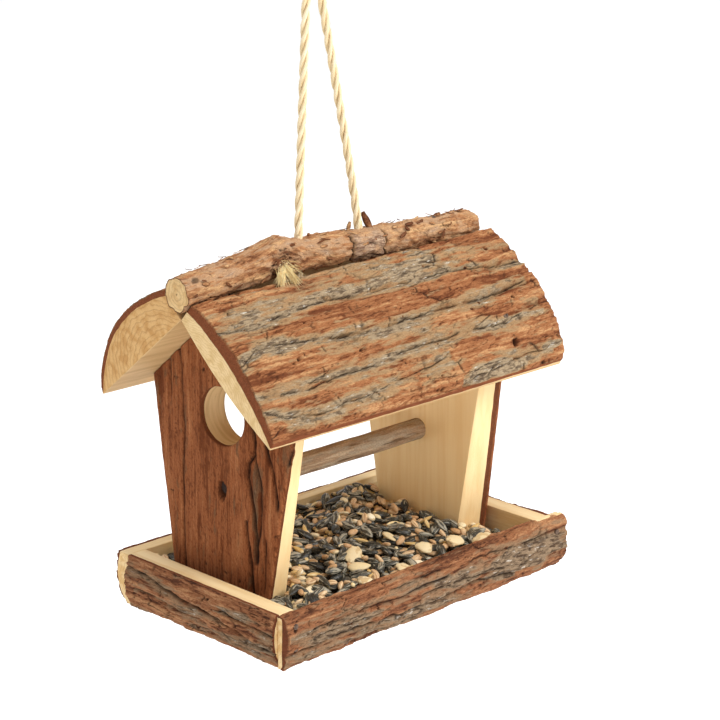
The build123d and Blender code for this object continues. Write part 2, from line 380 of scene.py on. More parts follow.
# Sawn rings round the wall of the round hole, on darker wood: painted shade inside the hole.
bored_wood_painted_shade = wood_material(
    "bored_wood_painted_shade", (214, 182, 134), (190, 154, 106), (140, 104, 66), 0.8, sizes=AROUND_BORE
)
# A darker copy of the sawn wood for the slabs' sawn faces, most of them underneath: painted shade under the
# roof.
roof_wood_painted_shade = wood_material("roof_wood_painted_shade", (212, 178, 128), (192, 156, 106), (160, 120, 76))
floor_wood = wood_material(
    "floor_wood", (226, 194, 146), (206, 168, 118), (168, 126, 82), coordinates="Object"
)
back_end_grain = end_material(
    "back_end_grain", (214, 172, 114), (194, 146, 86), (160, 112, 62), (30, 58), 3.1, 0.4
)
front_end_grain = end_material(
    "front_end_grain", (232, 202, 150), (218, 184, 128), (184, 144, 90), (44, 90), 1.7, 0.4
)
end_grain = end_material("end_grain", (238, 208, 156), (222, 182, 122), (186, 138, 84), (15, 40))
stick_end = end_material("stick_end", (222, 188, 134), (206, 166, 110), (120, 82, 50), (0, 0), 2.4, 0.3)

MOTTLE = 1.5  # the size of the mottling on metal


def plain_material(name, colour, dark, roughness, metallic):
    """A small fitting's finish: faint mottling over its own object coordinates."""
    material, tree, shader = new_material(name, roughness)
    place_on = add(tree, "TexCoord").outputs["Object"]
    inputs = {"Vector": place_on, "Scale": 1000 / MOTTLE, "Detail": 4.0}
    spots = add(tree, "TexNoise", inputs).outputs["Fac"]
    mottled = mixed(tree, fitted(tree, spots, 0.42, 0.66), colour, dark)
    shader.inputs["Metallic"].default_value = metallic
    finish_surface(tree, shader, mottled, spots, 0.0001)
    return material


steel = plain_material("steel", (150, 148, 144), (96, 84, 74), 0.42, 0.9)
rusty_steel = plain_material("rusty_steel", (112, 92, 78), (64, 48, 40), 0.6, 0.5)
# Painted shade: screws darkened to read as the dark of the pits they sit in.
screw_steel_painted_shade = plain_material("screw_steel_painted_shade", (58, 42, 34), (36, 26, 22), 0.75, 0.2)


def fibre_material(name, pale, middle, dark):
    """Rope fibre: bright strands, with painted shade in the hollows between them from the mesh's tone."""
    material, tree, shader = new_material(name, 0.82)
    fine = speckle(tree, (3.5, 0.22, 0.22), 3.0, 5.0)
    broad = speckle(tree, (14.0, 2.0, 2.0), 2.0, 8.0)
    tone = varied(tree, varied(tree, stored(tree, "tone"), fine, 0.9), broad, 0.5)
    colour = mixed(tree, fitted(tree, tone, 0.05, 0.5), dark, middle)
    colour = mixed(tree, fitted(tree, tone, 0.5, 0.95), colour, pale)
    finish_surface(tree, shader, colour, fine, 0.0003)
    return material


rope_fibre = fibre_material("rope_fibre", (250, 234, 200), (232, 208, 164), (176, 140, 92))
tuft_fibre = fibre_material("tuft_fibre", (255, 238, 184), (246, 212, 146), (206, 160, 94))
bast_fibre = fibre_material("bast_fibre", (214, 172, 124), (150, 102, 68), (84, 52, 36))


def seed_material(name, ground, stripe, spacing, gloss=0.45):
    """Seed husk with stripes along its length. Its tone attribute is one number for each seed."""
    material, tree, shader = new_material(name, gloss)
    shader.inputs["Specular IOR Level"].default_value = 0.4
    lines = speckle(tree, (7.0, spacing, spacing), 2.0, 3.0)
    own = stored(tree, "tone")
    line = fitted(tree, varied(tree, lines, own, 0.16), 0.53, 0.6)
    fine = speckle(tree, (1.4, 0.5, 0.5), 3.0, 15.0)
    colour = mixed(tree, own, ground[0], ground[1])
    colour = mixed(tree, fitted(tree, fine, 0.5, 0.75, 0.0, 0.3), colour, stripe)
    colour = mixed(tree, maths(tree, "MULTIPLY", line, 0.8), colour, stripe)
    finish_surface(tree, shader, colour, maths(tree, "ADD", lines, fine), 0.0002)
    return material


husk_black = seed_material("husk_black", ((36, 34, 29), (70, 66, 55)), (188, 180, 158), 1.1, 0.38)
husk_tan = seed_material("husk_tan", ((204, 158, 110), (242, 214, 170)), (178, 132, 88), 0.8, 0.45)
husk_gold = seed_material("husk_gold", ((214, 172, 98), (240, 212, 150)), (250, 232, 190), 0.6, 0.4)
husk_cream = seed_material("husk_cream", ((236, 214, 166), (250, 238, 208)), (216, 186, 132), 1.6, 0.5)
peanut = seed_material("peanut", ((224, 202, 156), (240, 222, 182)), (204, 172, 122), 2.2, 0.55)
# Painted shade: the dark heap that shows in the gaps between the seeds.
painted_seed_shade = seed_material("painted_seed_shade", ((50, 42, 36), (88, 72, 56)), (130, 104, 76), 1.2, 0.9)


# ---------------------------------------------------------------- meshes


def new_piece(name, points, faces, materials, slots=None, stored_values=None, body="house"):
    """A smooth mesh piece from points in house millimetres, riding on a body."""
    mesh = bpy.data.meshes.new(name)
    mesh.from_pydata(place(points).tolist(), [], [[int(corner) for corner in face] for face in faces])
    for material in materials:
        mesh.materials.append(material)
    if slots is not None:
        mesh.polygons.foreach_set("material_index", np.asarray(slots, np.int32))
    mesh.polygons.foreach_set("use_smooth", np.ones(len(mesh.polygons), bool))
    for key, values in (stored_values or {}).items():
        values = np.asarray(values, np.float32)
        if values.ndim == 2:
            mesh.attributes.new(key, "FLOAT_VECTOR", "POINT").data.foreach_set("vector", values.ravel())
        else:
            mesh.attributes.new(key, "FLOAT", "POINT").data.foreach_set("value", values)
    mesh.validate()
    piece = bpy.data.objects.new(name, mesh)
    bpy.context.scene.collection.objects.link(piece)
    if body:
        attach(piece, body)
    return piece


def quads(ids):
    """Four-sided faces between the points of a grid of point numbers."""
    return np.stack([ids[:-1, :-1], ids[1:, :-1], ids[1:, 1:], ids[:-1, 1:]], -1)


def round_quads(ids):
    """Rows of faces for a grid whose last column also meets its first."""
    return quads(np.concatenate([ids, ids[:, :1]], 1)).reshape(-1, 4)


BARK_ROWS = 4
WOOD_ROWS = 6
EDGE_PULL = 0.22  # how far a board's sharp edges are drawn in


def slab(name, outer, inner, s, t, bark_depth, field, materials, opening=None, bare=None, fray=0.8):
    """A barked board as one closed mesh.

    outer and inner are grids of points on its barked and its sawn face, s and t the places of the
    grid's points along and across the grain in mm. materials are for bark, for faces along the grain,
    for end grain and, where there is an opening, for its wall. opening marks the grid's cells that
    are cut right through, and bare those that have lost their bark.
    """
    count_i, count_j = outer.shape[:2]
    thickness = np.linalg.norm(inner - outer, axis=-1)
    normal = unit(np.cross(np.gradient(outer, axis=0), np.gradient(outer, axis=1)))
    normal *= np.sign(((outer - inner) * normal).sum(-1))[..., None]
    face = outer + normal * field["height"][..., None]
    deepest = np.maximum(bark_depth + 0.25 * noise(s, t, (6, 4), 72), 0.4 - field["height"])
    share = np.clip(deepest / thickness, 0.04, 0.94)[..., None]
    boundary = outer + share * (inner - outer)
    through_bark = np.linspace(0, 1, BARK_ROWS + 1)[:, None]
    through_wood = np.linspace(0, 1, WOOD_ROWS + 1)[1:, None]
    points = np.concatenate(
        [
            face[:, :, None] + through_bark * (boundary - face)[:, :, None],
            boundary[:, :, None] + through_wood * (inner - boundary)[:, :, None],
        ],
        2,
    )
    count_k = points.shape[2]

    # The bark breaks off a little unevenly where the board was sawn across.
    fading = np.clip(1 - np.arange(count_k) / BARK_ROWS, 0, 1)
    broken = fray * (0.5 + 0.5 * noise(t, thickness, (2.6, 3.0), 71))[..., None] * fading
    for end, beside in ((0, 3), (-1, -4)):
        inward = unit(points[beside] - points[end])
        points[end] += inward * broken[end][..., None]

    pull = np.zeros_like(points)
    sides = np.zeros(points.shape[:3], int)
    for axis in range(3):
        for end, beside in ((0, 1), (-1, -2)):
            here = [slice(None)] * 3
            near = [slice(None)] * 3
            here[axis], near[axis] = end, beside
            here, near = tuple(here), tuple(near)
            pull[here] += unit(points[near] - points[here])
            sides[here] += 1
    points += np.where(sides[..., None] >= 2, EDGE_PULL * pull, 0)

    cells_open = np.zeros((count_i - 1, count_j - 1), bool) if opening is None else opening
    cells_bare = np.zeros((count_i - 1, count_j - 1), bool) if bare is None else bare
    inside_corner = np.zeros((count_i, count_j), int)
    for di, dj in np.ndindex(2, 2):
        inside_corner[di : count_i - 1 + di, dj : count_j - 1 + dj] += cells_open
    wall = (inside_corner > 0) & (inside_corner < 4)
    kept = sides > 0
    kept[inside_corner == 4] = False
    kept[wall] = True
    ids = np.full(points.shape[:3], -1)
    ids[kept] = np.arange(kept.sum())

    groups = []

    def add_side(cells, flipped, wood):
        cells = cells[..., ::-1] if flipped else cells
        groups.append((cells[:, :BARK_ROWS].reshape(-1, 4), 0))
        groups.append((cells[:, BARK_ROWS:].reshape(-1, 4), wood))

    solid = ~cells_open
    groups.append((quads(ids[:, :, 0])[solid & ~cells_bare][:, ::-1], 0))
    groups.append((quads(ids[:, :, 0])[solid & cells_bare][:, ::-1], 1))
    groups.append((quads(ids[:, :, -1])[solid], 1))
    for end in (0, -1):
        add_side(quads(ids[end]), end == 0, 2)
        add_side(quads(ids[:, end]), end == -1, 1)
    for i, j in np.argwhere(cells_open[:, :-1] != cells_open[:, 1:]):
        add_side(quads(ids[i : i + 2, j + 1]), not cells_open[i, j], 3)
    for i, j in np.argwhere(cells_open[:-1] != cells_open[1:]):
        add_side(quads(ids[i + 1, j : j + 2]), cells_open[i, j], 3)
    faces = np.concatenate([group.reshape(-1, 4) for group, material in groups])
    slots = np.concatenate([np.full(group.size // 4, material) for group, material in groups])
    middle = (count_i // 2, count_j // 3, 1)
    span = [points[tuple(np.add(middle, step))] - points[middle] for step in np.eye(3, dtype=int)]
    if np.linalg.det(np.array(span)) < 0:
        faces = faces[:, ::-1]

    def spread(values):
        return np.broadcast_to(np.asarray(values, float)[:, :, None], points.shape[:3])[kept]

    depth = np.linalg.norm(points - face[:, :, None], axis=-1)
    below = np.broadcast_to(np.arange(count_k) > 0, points.shape[:3])[kept]
    values = {key: np.where(below, 0, spread(field[key])) for key in ("lichen", "crack_and_painted_shade")}
    values["tone"], values["cut"] = spread(field["tone"]), below.astype(float)
    values["grain"] = np.stack([spread(s), spread(t), depth[kept]], -1)
    return new_piece(name, points[kept], faces, materials, slots, values)


# ---------------------------------------------------------------- bark

# How each kind of bark looks. Lengths in mm: furrow width and depth, half the width of the crack in
# it, how broken that crack is, how far furrows wander, how high the bark swells between them, how
# far the crust reaches from them and how much of it there is, the height of long streaks and of the
# steps between layers, how much it flakes, the size of its flakes, and the area for each pit and split.
ROOF_STYLE = dict(
    width=2.0, depth=1.9, line=0.36, broken=1.2, wander=1.0, swell=1.3, reach=4.6, crust=0.56, streak=0.6,
    step=0.42, flake=0.5, plate=(26, 6), pits=600, splits=420,
)
BACK_STYLE = dict(ROOF_STYLE, depth=1.1, swell=0.6)
TRAY_STYLE = dict(
    width=1.4, depth=1.3, line=0.5, broken=0.8, wander=1.0, swell=0.6, reach=4.2, crust=0.34, streak=0.6,
    step=0.4, flake=0.6, plate=(17, 4), pits=600, splits=700,
)
GABLE_STYLE = dict(
    width=1.1, depth=1.4, line=0.62, broken=0.3, wander=0.5, swell=0.25, reach=2.4, crust=0.08, streak=0.2,
    step=0.10, flake=0.10, plate=(40, 7), pits=4000, splits=2500,
)


def furrows_for(seed, length, width, spacing):
    """Furrows that run the whole length, for a board whose own aren't known."""
    random = np.random.default_rng(seed)
    count = max(1, round(width / spacing) - 1)
    stations = np.linspace(length[0], length[1], 6)
    made = []
    for number in range(count):
        middle = (number + 1) * width / (count + 1)
        places = middle + random.uniform(-0.22, 0.22, len(stations)) * spacing
        made.append((list(zip(stations, places)), random.uniform(0.7, 1.1)))
    return made


def scattered(s, t, seed, area):
    """Random places over the grid, one for each area in mm2, as (s, t) rows, and their generator."""
    random = np.random.default_rng(seed)
    count = int(np.ptp(s) * np.ptp(t) / area)
    places = random.uniform((s.min(), t.min()), (s.max(), t.max()), (count, 2))
    return places, random


def furrowed(s, t, furrows, seed, style):
    """How deep the furrows are, how far the nearest is, the lip beside each, and the dark line at its
    bottom: its cracks, with painted shade.
    """
    deep = np.zeros(s.shape)
    nearest = np.full(s.shape, 60.0)
    lip = np.zeros(s.shape)
    crack_and_painted_shade = np.zeros(s.shape)
    for number, (line, strength) in enumerate(furrows):
        stations = np.array(line, float)
        own = seed + 13 * number
        middle = np.interp(s, stations[:, 0], stations[:, 1])
        bends = 1.2 * noise(s, middle, (24, 90), own) + 0.7 * noise(s, t, (8, 20), own + 1)
        bends = bends + 0.35 * noise(s, t, (2.6, 4), own + 6)
        middle = middle + style["wander"] * bends
        first, last = stations[0, 0], stations[-1, 0]
        force = strength * ramp(first - 7, first + 3, s) * (1 - ramp(last - 3, last + 7, s))
        fading = 0.46 * style["broken"] * noise(s, middle * 0, (28, 9), own + 2)
        force = force * np.clip(0.85 + fading, 0.1, 1.3)
        away = t - middle
        width = style["width"] * np.clip(1 + 0.6 * noise(s, middle * 0, (15, 9), own + 3), 0.4, 2)
        deep = np.maximum(deep, force * peak(away, width))
        nearest = np.where((np.abs(away) < nearest) & (force > 0.25), np.abs(away), nearest)
        lip = lip + force * np.tanh(-away / 0.5) * peak(away, 3.5)
        half = style["line"] * strength * (1 + 0.6 * noise(s, t, (9, 9), own + 4))
        thin = peak(away, half)
        broken = style["broken"] * noise(s, t, (11, 9), own + 5)
        # The dark line at the bottom of each furrow: its cracks, darkened further as painted shade.
        crack_and_painted_shade = np.maximum(crack_and_painted_shade, thin * ramp(0.35, 0.65, 0.75 + broken) * ramp(0.2, 0.5, force))
    return deep, nearest, lip, crack_and_painted_shade


def add_splits(s, t, height, crack_and_painted_shade, seed, area):
    """Cuts short splits across the grain into height and crack."""
    places, random = scattered(s, t, seed + 1, area)
    for at_s, at_t in places:
        half = random.uniform(0.8, 3.2)
        lean = random.uniform(-0.8, 0.8)
        bow = random.uniform(-0.5, 0.5)
        near = (np.abs(s - at_s) < 6) & (np.abs(t - at_t) < half + 1)
        over = (t[near] - at_t) / half
        line = at_s + half * (lean * over + bow * over**2)
        line = line + 0.4 * noise(t[near] * 3, s[near] * 0, (2.5, 2.5), seed + 3)
        mark = peak(s[near] - line, 0.4) * (1 - ramp(0.75, 1.0, np.abs(over)))
        crack_and_painted_shade[near] = np.maximum(crack_and_painted_shade[near], 0.85 * mark)
        height[near] = height[near] - 0.5 * mark


def add_pits(s, t, height, crack_and_painted_shade, lichen, seed, area, pits):
    """Sinks small random pits and the given ones into height, lichen and the dark mask, with painted shade
    in each pit.
    """
    places, random = scattered(s, t, seed + 2, area)
    small = [(at_s, at_t, random.uniform(0.4, 0.9), random.uniform(0.4, 0.9), 1.3) for at_s, at_t in places]
    for at_s, at_t, radius, sunk, stretch in [*small, *pits]:
        near = (np.abs(s - at_s) < 3 * radius * stretch) & (np.abs(t - at_t) < 3 * radius)
        away = np.hypot((s[near] - at_s) / stretch, t[near] - at_t) / radius
        away = away + 0.3 * noise(s[near], t[near], (2.2, 2.2), seed + 106)
        flat = 1 - ramp(0.7, 1.8, away)
        height[near] = height[near] * (1 - flat) - sunk * (1 - ramp(0.75, 1.15, away))
        # Each pit is painted dark at its middle: painted shade in the pit.
        crack_and_painted_shade[near] = np.maximum(crack_and_painted_shade[near], 0.9 * (1 - ramp(0.6, 1.3, away)))
        lichen[near] = lichen[near] * ramp(0.8, 1.4, away)


def bark(s, t, furrows, seed, style, patches=(), pits=()):
    """Relief and colouring of bark at points s along and t across the grain.

    furrows are (points, strength), patches of crust (s, t, half length, half width, amount),
    and pits, sunk marks, (s, t, radius, depth, how much longer than wide).
    """

    def wave(length, width, number):
        return noise(s, t, (length, width), seed + number)

    deep, nearest, lip, crack_and_painted_shade = furrowed(s, t, furrows, seed, style)
    bent_s = s + 2.0 * wave(13, 6, 87)
    bent_t = t + 1.0 * wave(15, 6, 88) + 0.4 * wave(4.5, 2.2, 89)
    border, value = plates(bent_s, bent_t, style["plate"], seed + 91)
    flaking = style["flake"] * (0.6 + 0.5 * wave(45, 20, 92))
    streaks = layered(s, bent_t, (34, 2.6), seed + 93)
    layers = 2.2 * layered(bent_s, bent_t, (30, 6.5), seed + 90) + 0.8 * wave(7, 2.2, 94)
    edge = layers - np.floor(layers)
    stepped = np.floor(layers) + ramp(0.72, 0.95, edge)
    ledge = peak(edge - 0.76, 0.10)

    near_furrow = peak(nearest, style["reach"])
    crust = style["crust"] * near_furrow * (1 + 0.6 * wave(26, 14, 95) + 0.6 * wave(32, 3, 85))
    crust = crust + 0.3 * wave(34, 3.2, 96) + 0.24 * wave(11, 1.9, 97)
    crust = crust + 0.16 * wave(4.5, 1.1, 98)
    for at_s, at_t, half_s, half_t, amount in patches:
        reach = ((s - at_s) / half_s) ** 2 + ((t - at_t) / half_t) ** 2
        reach = reach + 0.7 * wave(14, 3.5, 99)
        crust = crust + amount * (1 - ramp(0.5, 1.3, reach))
    lichen = np.clip(crust, 0, 1.2)
    crusted = ramp(0.34, 0.5, crust)
    rough = wave(4.0, 1.3, 100) + 0.7 * wave(1.9, 0.9, 101)

    height = style["swell"] * (1 - near_furrow) - style["depth"] * deep + 0.45 * style["swell"] * lip
    height = height + style["streak"] * streaks + flaking * value * ramp(0.0, 0.14, border)
    height = height + style["step"] * (1 - 0.6 * crusted) * stepped
    height = height + crusted * (0.35 + 0.42 * rough) * (style["step"] > 0.1)
    height = height - 0.5 * crack_and_painted_shade
    # Sunk seams between the plates, painted dark: painted shade in them.
    seams = (1 - ramp(0.02, 0.08, border)) * ramp(0.0, 0.35, wave(18, 9, 102))
    seams = seams * ramp(0, 0.4, flaking)
    height = height - 0.55 * seams
    crack_and_painted_shade = np.maximum(crack_and_painted_shade, 0.9 * seams)
    # A dark line along each ledge between layers: painted shadow under the step.
    shown = ramp(-0.1, 0.5, wave(10, 5, 103)) * ramp(0.02, 0.3, style["step"])
    crack_and_painted_shade = np.maximum(crack_and_painted_shade, 0.6 * ledge * shown)
    # Painted shade in the hollows of the rough crust, and at the bottom of the deepest furrows.
    patchy = ramp(-0.3, 0.4, wave(9, 5, 104))
    crack_and_painted_shade = np.maximum(crack_and_painted_shade, 0.75 * crusted * ramp(0.5, 0.75, -rough) * patchy)
    crack_and_painted_shade = np.maximum(crack_and_painted_shade, 0.6 * ramp(0.8, 1.15, deep) * ramp(0.0, 0.4, wave(9, 3, 105)))

    add_splits(s, t, height, crack_and_painted_shade, seed, style["splits"])
    add_pits(s, t, height, crack_and_painted_shade, lichen, seed, style["pits"], pits)
    # The tone is lighter where the bark stands high, and darker where it sinks and along each ledge:
    # painted light and shade.
    tone = 0.5 + 0.26 * wave(40, 8, 107) + 0.24 * wave(60, 2.2, 86)
    tone = tone + 0.10 * value + 0.18 * streaks + 0.10 * (height - 0.5) - 0.28 * ledge
    return dict(height=height, lichen=lichen, crack_and_painted_shade=np.clip(crack_and_painted_shade, 0, 1), tone=tone)


# ---------------------------------------------------------------- camera, light and floor

scene = bpy.context.scene
scene.view_settings.view_transform = "Standard"

SKY_LIGHT = 0.7
EYE = (-0.7978, -0.8524, 0.1405)
TARGET = (0.03366, 0.0, -0.2062)


def aimed(name, data, place_at):
    """A camera or light at that place, pointed at the target."""
    made = bpy.data.objects.new(name, data)
    made.location = place_at
    made.rotation_euler = Vector(np.subtract(TARGET, place_at)).to_track_quat("-Z", "Y").to_euler()
    scene.collection.objects.link(made)
    return made


def studio():
    """The camera, a white world that lights less than it shows, two lamps and a white floor."""
    camera = aimed("camera", bpy.data.cameras.new("camera"), EYE)
    camera.data.lens = 113.3
    camera.data.sensor_width = 36.0
    camera.data.clip_start = 0.01
    camera.data.clip_end = 60.0
    scene.camera = camera

    world = bpy.data.worlds.new("studio")
    world.use_nodes = True
    backdrop = world.node_tree.nodes["Background"]
    backdrop.inputs["Color"].default_value = (1.0, 1.0, 1.0, 1.0)
    seen = world.node_tree.nodes.new("ShaderNodeLightPath")
    strength = world.node_tree.nodes.new("ShaderNodeMapRange")
    strength.inputs["To Min"].default_value = SKY_LIGHT
    world.node_tree.links.new(seen.outputs["Is Camera Ray"], strength.inputs["Value"])
    world.node_tree.links.new(strength.outputs["Result"], backdrop.inputs["Strength"])
    scene.world = world

    for name, place_at, size, power in (
        ("key", (0.55, -1.3, 0.9), 0.7, 22.0),
        ("top", (-0.3, -0.2, 1.5), 1.2, 12.0),
    ):
        light = aimed(name, bpy.data.lights.new(name, "AREA"), place_at)
        light.data.size = size
        light.data.energy = power

    far, below = 12.0, 0.12
    height = HOUSE_ORIGIN[2] - below
    corners = [(-far, -far, height), (far, -far, height), (far, far, height), (-far, far, height)]
    mesh = bpy.data.meshes.new("studio_floor")
    mesh.from_pydata(corners, [], [(0, 1, 2, 3)])
    floor = bpy.data.objects.new("studio_floor", mesh)
    scene.collection.objects.link(floor)
    white = bpy.data.materials.new("studio_white")
    white.use_nodes = True
    shader = white.node_tree.nodes["Principled BSDF"]
    shader.inputs["Base Color"].default_value = (0.9, 0.9, 0.9, 1.0)
    shader.inputs["Roughness"].default_value = 0.9
    shader.inputs["Emission Color"].default_value = (1.0, 1.0, 1.0, 1.0)
    shader.inputs["Emission Strength"].default_value = 0.35
    mesh.materials.append(white)


studio()

# ---------------------------------------------------------------- rope

SWING_HEIGHT = 206.0
LEFT_HOLE, RIGHT_HOLE = -28.4, 15.6
# From one hole in the branch over the hook to the other, with one point on each leg below the hook.
ROPE_ROUTE = [
    (LEFT_HOLE, 0, 196),
    (LEFT_HOLE, 0, SWING_HEIGHT),
    (-22.6, 0, 308.4),
    (-21.2, 0, 333.4),
    (-12.9, 0, 333.4),
    (-7.4, 0, 309.0),
    (RIGHT_HOLE, 0, SWING_HEIGHT),
    (RIGHT_HOLE, 0, 196),
]
ROPE_LAY = 30.0  # how long a full turn of the strands is
STRAND_RADIUS = 1.12
STRAND_OFFSET = 1.24  # from the rope's middle to a strand's


def square_to(line, side):
    """Two directions square to a line of points and to each other, the first one close to side."""
    side = np.broadcast_to(side, line.shape)
    tangent = unit(np.gradient(line, axis=0))
    first = unit(side - (side * tangent).sum(-1, keepdims=True) * tangent)
    return first, np.cross(tangent, first)


def tube(line, side, radii, around, closed_ends=True):
    """Points and faces of a tube along a line of points. side is roughly square to the line."""
    first, second = square_to(line, side)
    turn = np.linspace(0, 2 * np.pi, around, endpoint=False)
    ring = np.cos(turn)[None, :, None] * first[:, None] + np.sin(turn)[None, :, None] * second[:, None]
    radii = np.broadcast_to(radii, ring.shape[:2])[..., None]
    points = (line[:, None] + radii * ring).reshape(-1, 3)
    ids = np.arange(len(line) * around).reshape(len(line), around)
    faces = list(round_quads(ids)[:, ::-1])
    if closed_ends:
        faces += [ids[0], ids[-1, ::-1]]
    return points, faces


def gathered(parts):
    """Several (points, faces) pairs as one pair."""
    points, faces, count = [], [], 0
    for some_points, some_faces in parts:
        points.append(some_points)
        faces.extend(face + count for face in some_faces)
        count += len(some_points)
    return np.concatenate(points), faces


def nurbs_line(route):
    """Points along the NURBS curve through a route, from the curve itself."""
    curve = bpy.data.curves.new("route", "CURVE")
    curve.dimensions = "3D"
    curve.resolution_u = 32
    spline = curve.splines.new("NURBS")
    spline.points.add(len(route) - 1)
    for point, where in zip(spline.points, place(route)):
        point.co = (*where, 1.0)
    spline.order_u = 3
    spline.use_endpoint_u = True
    holder = bpy.data.objects.new("route", curve)
    mesh = bpy.data.meshes.new_from_object(holder)
    line = np.array([vertex.co[:] for vertex in mesh.vertices])
    bpy.data.objects.remove(holder)
    bpy.data.meshes.remove(mesh)
    return line


def resampled(line, step):
    """Points evenly spaced along a line, about a step apart, and how far along it they are."""
    length = lengths_along(line)[-1]
    wanted = np.linspace(0, length, round(length / step) + 1)
    return at_lengths(line, wanted), wanted


def twisted_rope(line, run, side, around=14):
    """Three strands laid round a line, each of several yarns: points, faces, tones and grain."""
    first, second = square_to(line, side)
    parts, tones, grains = [], [], []
    angles = np.linspace(0, 2 * np.pi, around, endpoint=False)
    for strand in range(3):
        turn = 2 * np.pi * (run / ROPE_LAY + strand / 3)
        outwards = np.cos(turn)[:, None] * first + np.sin(turn)[:, None] * second
        yarns = np.cos(6 * (angles[None] - 2 * np.pi * run[:, None] / 13 + strand))
        lumps = noise(run[:, None] + 40 * strand, angles[None], (5, 1.2), 60 + strand)
        radii = STRAND_RADIUS * (1 + 0.07 * yarns + 0.07 * lumps)
        points, faces = tube(line + STRAND_OFFSET * outwards, -outwards, radii, around)
        parts.append((points, faces))
        # Painted shade where the strands press together, lighter on their outer side, and darker in the
        # grooves between the yarns: painted shade too.
        painted_light_outwards = 0.5 - 0.5 * np.cos(angles)[None] + 0 * radii
        tones.append((0.25 + 0.5 * painted_light_outwards + 0.14 * yarns + 0.2 * lumps).ravel())
        grain = run[:, None] + 0 * radii, angles[None] + 0 * radii, 0 * radii + 3 * strand
        grains.append(np.stack(grain, -1))
    points, faces = gathered(parts)
    return points, faces, np.concatenate(tones), np.concatenate([grain.reshape(-1, 3) for grain in grains])


def fibres(starts, directions, lengths, curl, radius, seed, joints=5):
    """Thin curved hairs as three-sided tubes that taper to a point."""
    random = np.random.default_rng(seed)
    share = np.linspace(0, 1, joints)[:, None]
    parts = []
    for start, direction, length in zip(starts, directions, lengths):
        line = start + length * (share * direction + share**2 * random.normal(0, curl, 3))
        side = unit(np.cross(direction, (0.31, 0.2, 0.93)))
        parts.append(tube(line, side, radius * (1.05 - share**2), 3, False))
    return gathered(parts)


def rope_loop():
    route = nurbs_line(ROPE_ROUTE)
    line, run = resampled((route - HOUSE_ORIGIN) / MM, 0.75)
    points, faces, tones, grain = twisted_rope(line, run, (0.0, 1.0, 0.0))

    random = np.random.default_rng(21)
    count = 420
    picked = random.integers(2, len(line) - 2, count)
    tangent = unit(np.gradient(line, axis=0))[picked]
    outwards = unit(np.cross(tangent, random.normal(0, 1, (count, 3))))
    starts = line[picked] + outwards * 1.75
    heading = tangent * random.choice([-1, 1], (count, 1))
    heading = heading + outwards * random.uniform(0.1, 0.55, (count, 1))
    hair_points, hair_faces = fibres(starts, unit(heading), random.uniform(1.4, 3.2, count), 0.1, 0.075, 22)
    points, faces = gathered([(points, faces), (hair_points, hair_faces)])
    tones = np.concatenate([tones, np.full(len(hair_points), 0.8)])
    grain = np.concatenate([grain, hair_points])

    values = {"tone": tones, "grain": grain}
    piece = new_piece("hanging_rope", points, faces, [rope_fibre], None, values, None)
    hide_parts("rope_loop")
    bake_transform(piece)


rope_loop()

# ---------------------------------------------------------------- roof

APEX_HEIGHT = 171.7
ROOF_PITCH = math.radians(39.1)
ROOF_CHORD = 85.0
ROOF_GIRTH = 105.0  # about how far it is over a slab's bark, from the ridge to the eave
BACK_LEFT_END = [(1.5, 18.4), (12, 22), (33, 25.5), (57, 22.6), (76, 12), (84, 3.5)]
BACK_RIGHT_END = [(1.0, 18.0), (12, 21), (33, 24), (57, 21), (76, 12), (84, 3.5)]
FRONT_LEFT_END = [(0.8, 11.8), (12, 15.8), (36, 18.0), (57, 14.8), (75, 9.2), (84, 4.5)]
FRONT_RIGHT_END = [(0.5, 18.0), (12, 21), (33, 23), (57, 19.8), (76, 12), (84, 4)]
# Furrows in the front slab's bark: distance along X, distance down the slope from the ridge.
FRONT_FURROWS = [
    ([(-110, 23), (-80, 24), (-58, 21), (-34, 19.5), (-4, 21.5), (54, 22), (86, 25), (108, 27)], 1.0),
    ([(-108, 45), (-94, 37), (-62, 40), (-36, 43), (-10, 45), (34, 43), (78, 43), (96, 40)], 1.1),
    ([(-110, 61.5), (-76, 65.5), (-48, 62.5), (-14, 60.5), (42, 59.5), (72, 60.5), (98, 56)], 1.0),
    ([(-108, 70), (-96, 76), (-66, 77.5), (-38, 75), (-2, 72), (20, 69)], 0.8),
    ([(30, 83), (62, 79.5), (98, 78)], 0.7),
]


def roof_slab(
    name, side, left_end, right_end, furrows, bark_depth, seed, style, patches, pits, bow, end_wood
):
    """A half-round slab. bow is how far its sawn face bulges down at the left end."""
    low, high = house_box(name)
    along = rows(high[0] - low[0], 1.0)
    across = rows(ROOF_GIRTH, 0.55)
    x = low[0] + along * (high[0] - low[0])
    left, right = smooth_line(left_end, across), smooth_line(right_end, across)
    outline = left + along[:, None, None] * (right - left)
    bulge = -bow * np.sin(np.pi * across) * (1 - along[:, None]) ** 4
    flat = np.stack([np.broadcast_to(across * ROOF_CHORD, bulge.shape), bulge], -1)

    def in_space(down_thick):
        down, thick = down_thick[..., 0], down_thick[..., 1]
        y = side * (down * math.cos(ROOF_PITCH) + thick * math.sin(ROOF_PITCH))
        z = APEX_HEIGHT - down * math.sin(ROOF_PITCH) + thick * math.cos(ROOF_PITCH)
        return np.stack([np.broadcast_to(x[:, None], down.shape), y, z], -1)

    s = np.broadcast_to(x[:, None], outline.shape[:2])
    t = outline[..., 0]
    field = bark(s, t, furrows, seed, style, patches, pits)
    field["height"] = field["height"] * (0.3 + 0.7 * ramp(0, 8, s - low[0]))
    least_wood = 0.1 + 2.3 * along[:, None] ** 1.5 * np.ones_like(t)
    thickness = outline[..., 1]
    depth = np.minimum(np.minimum(bark_depth, 0.4 * thickness + 1.5 * across), thickness - least_wood)
    materials = [roof_bark, roof_wood_painted_shade, end_wood]
    piece = slab(name + "_bark", in_space(outline), in_space(flat), s, t, depth, field, materials)
    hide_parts(name)


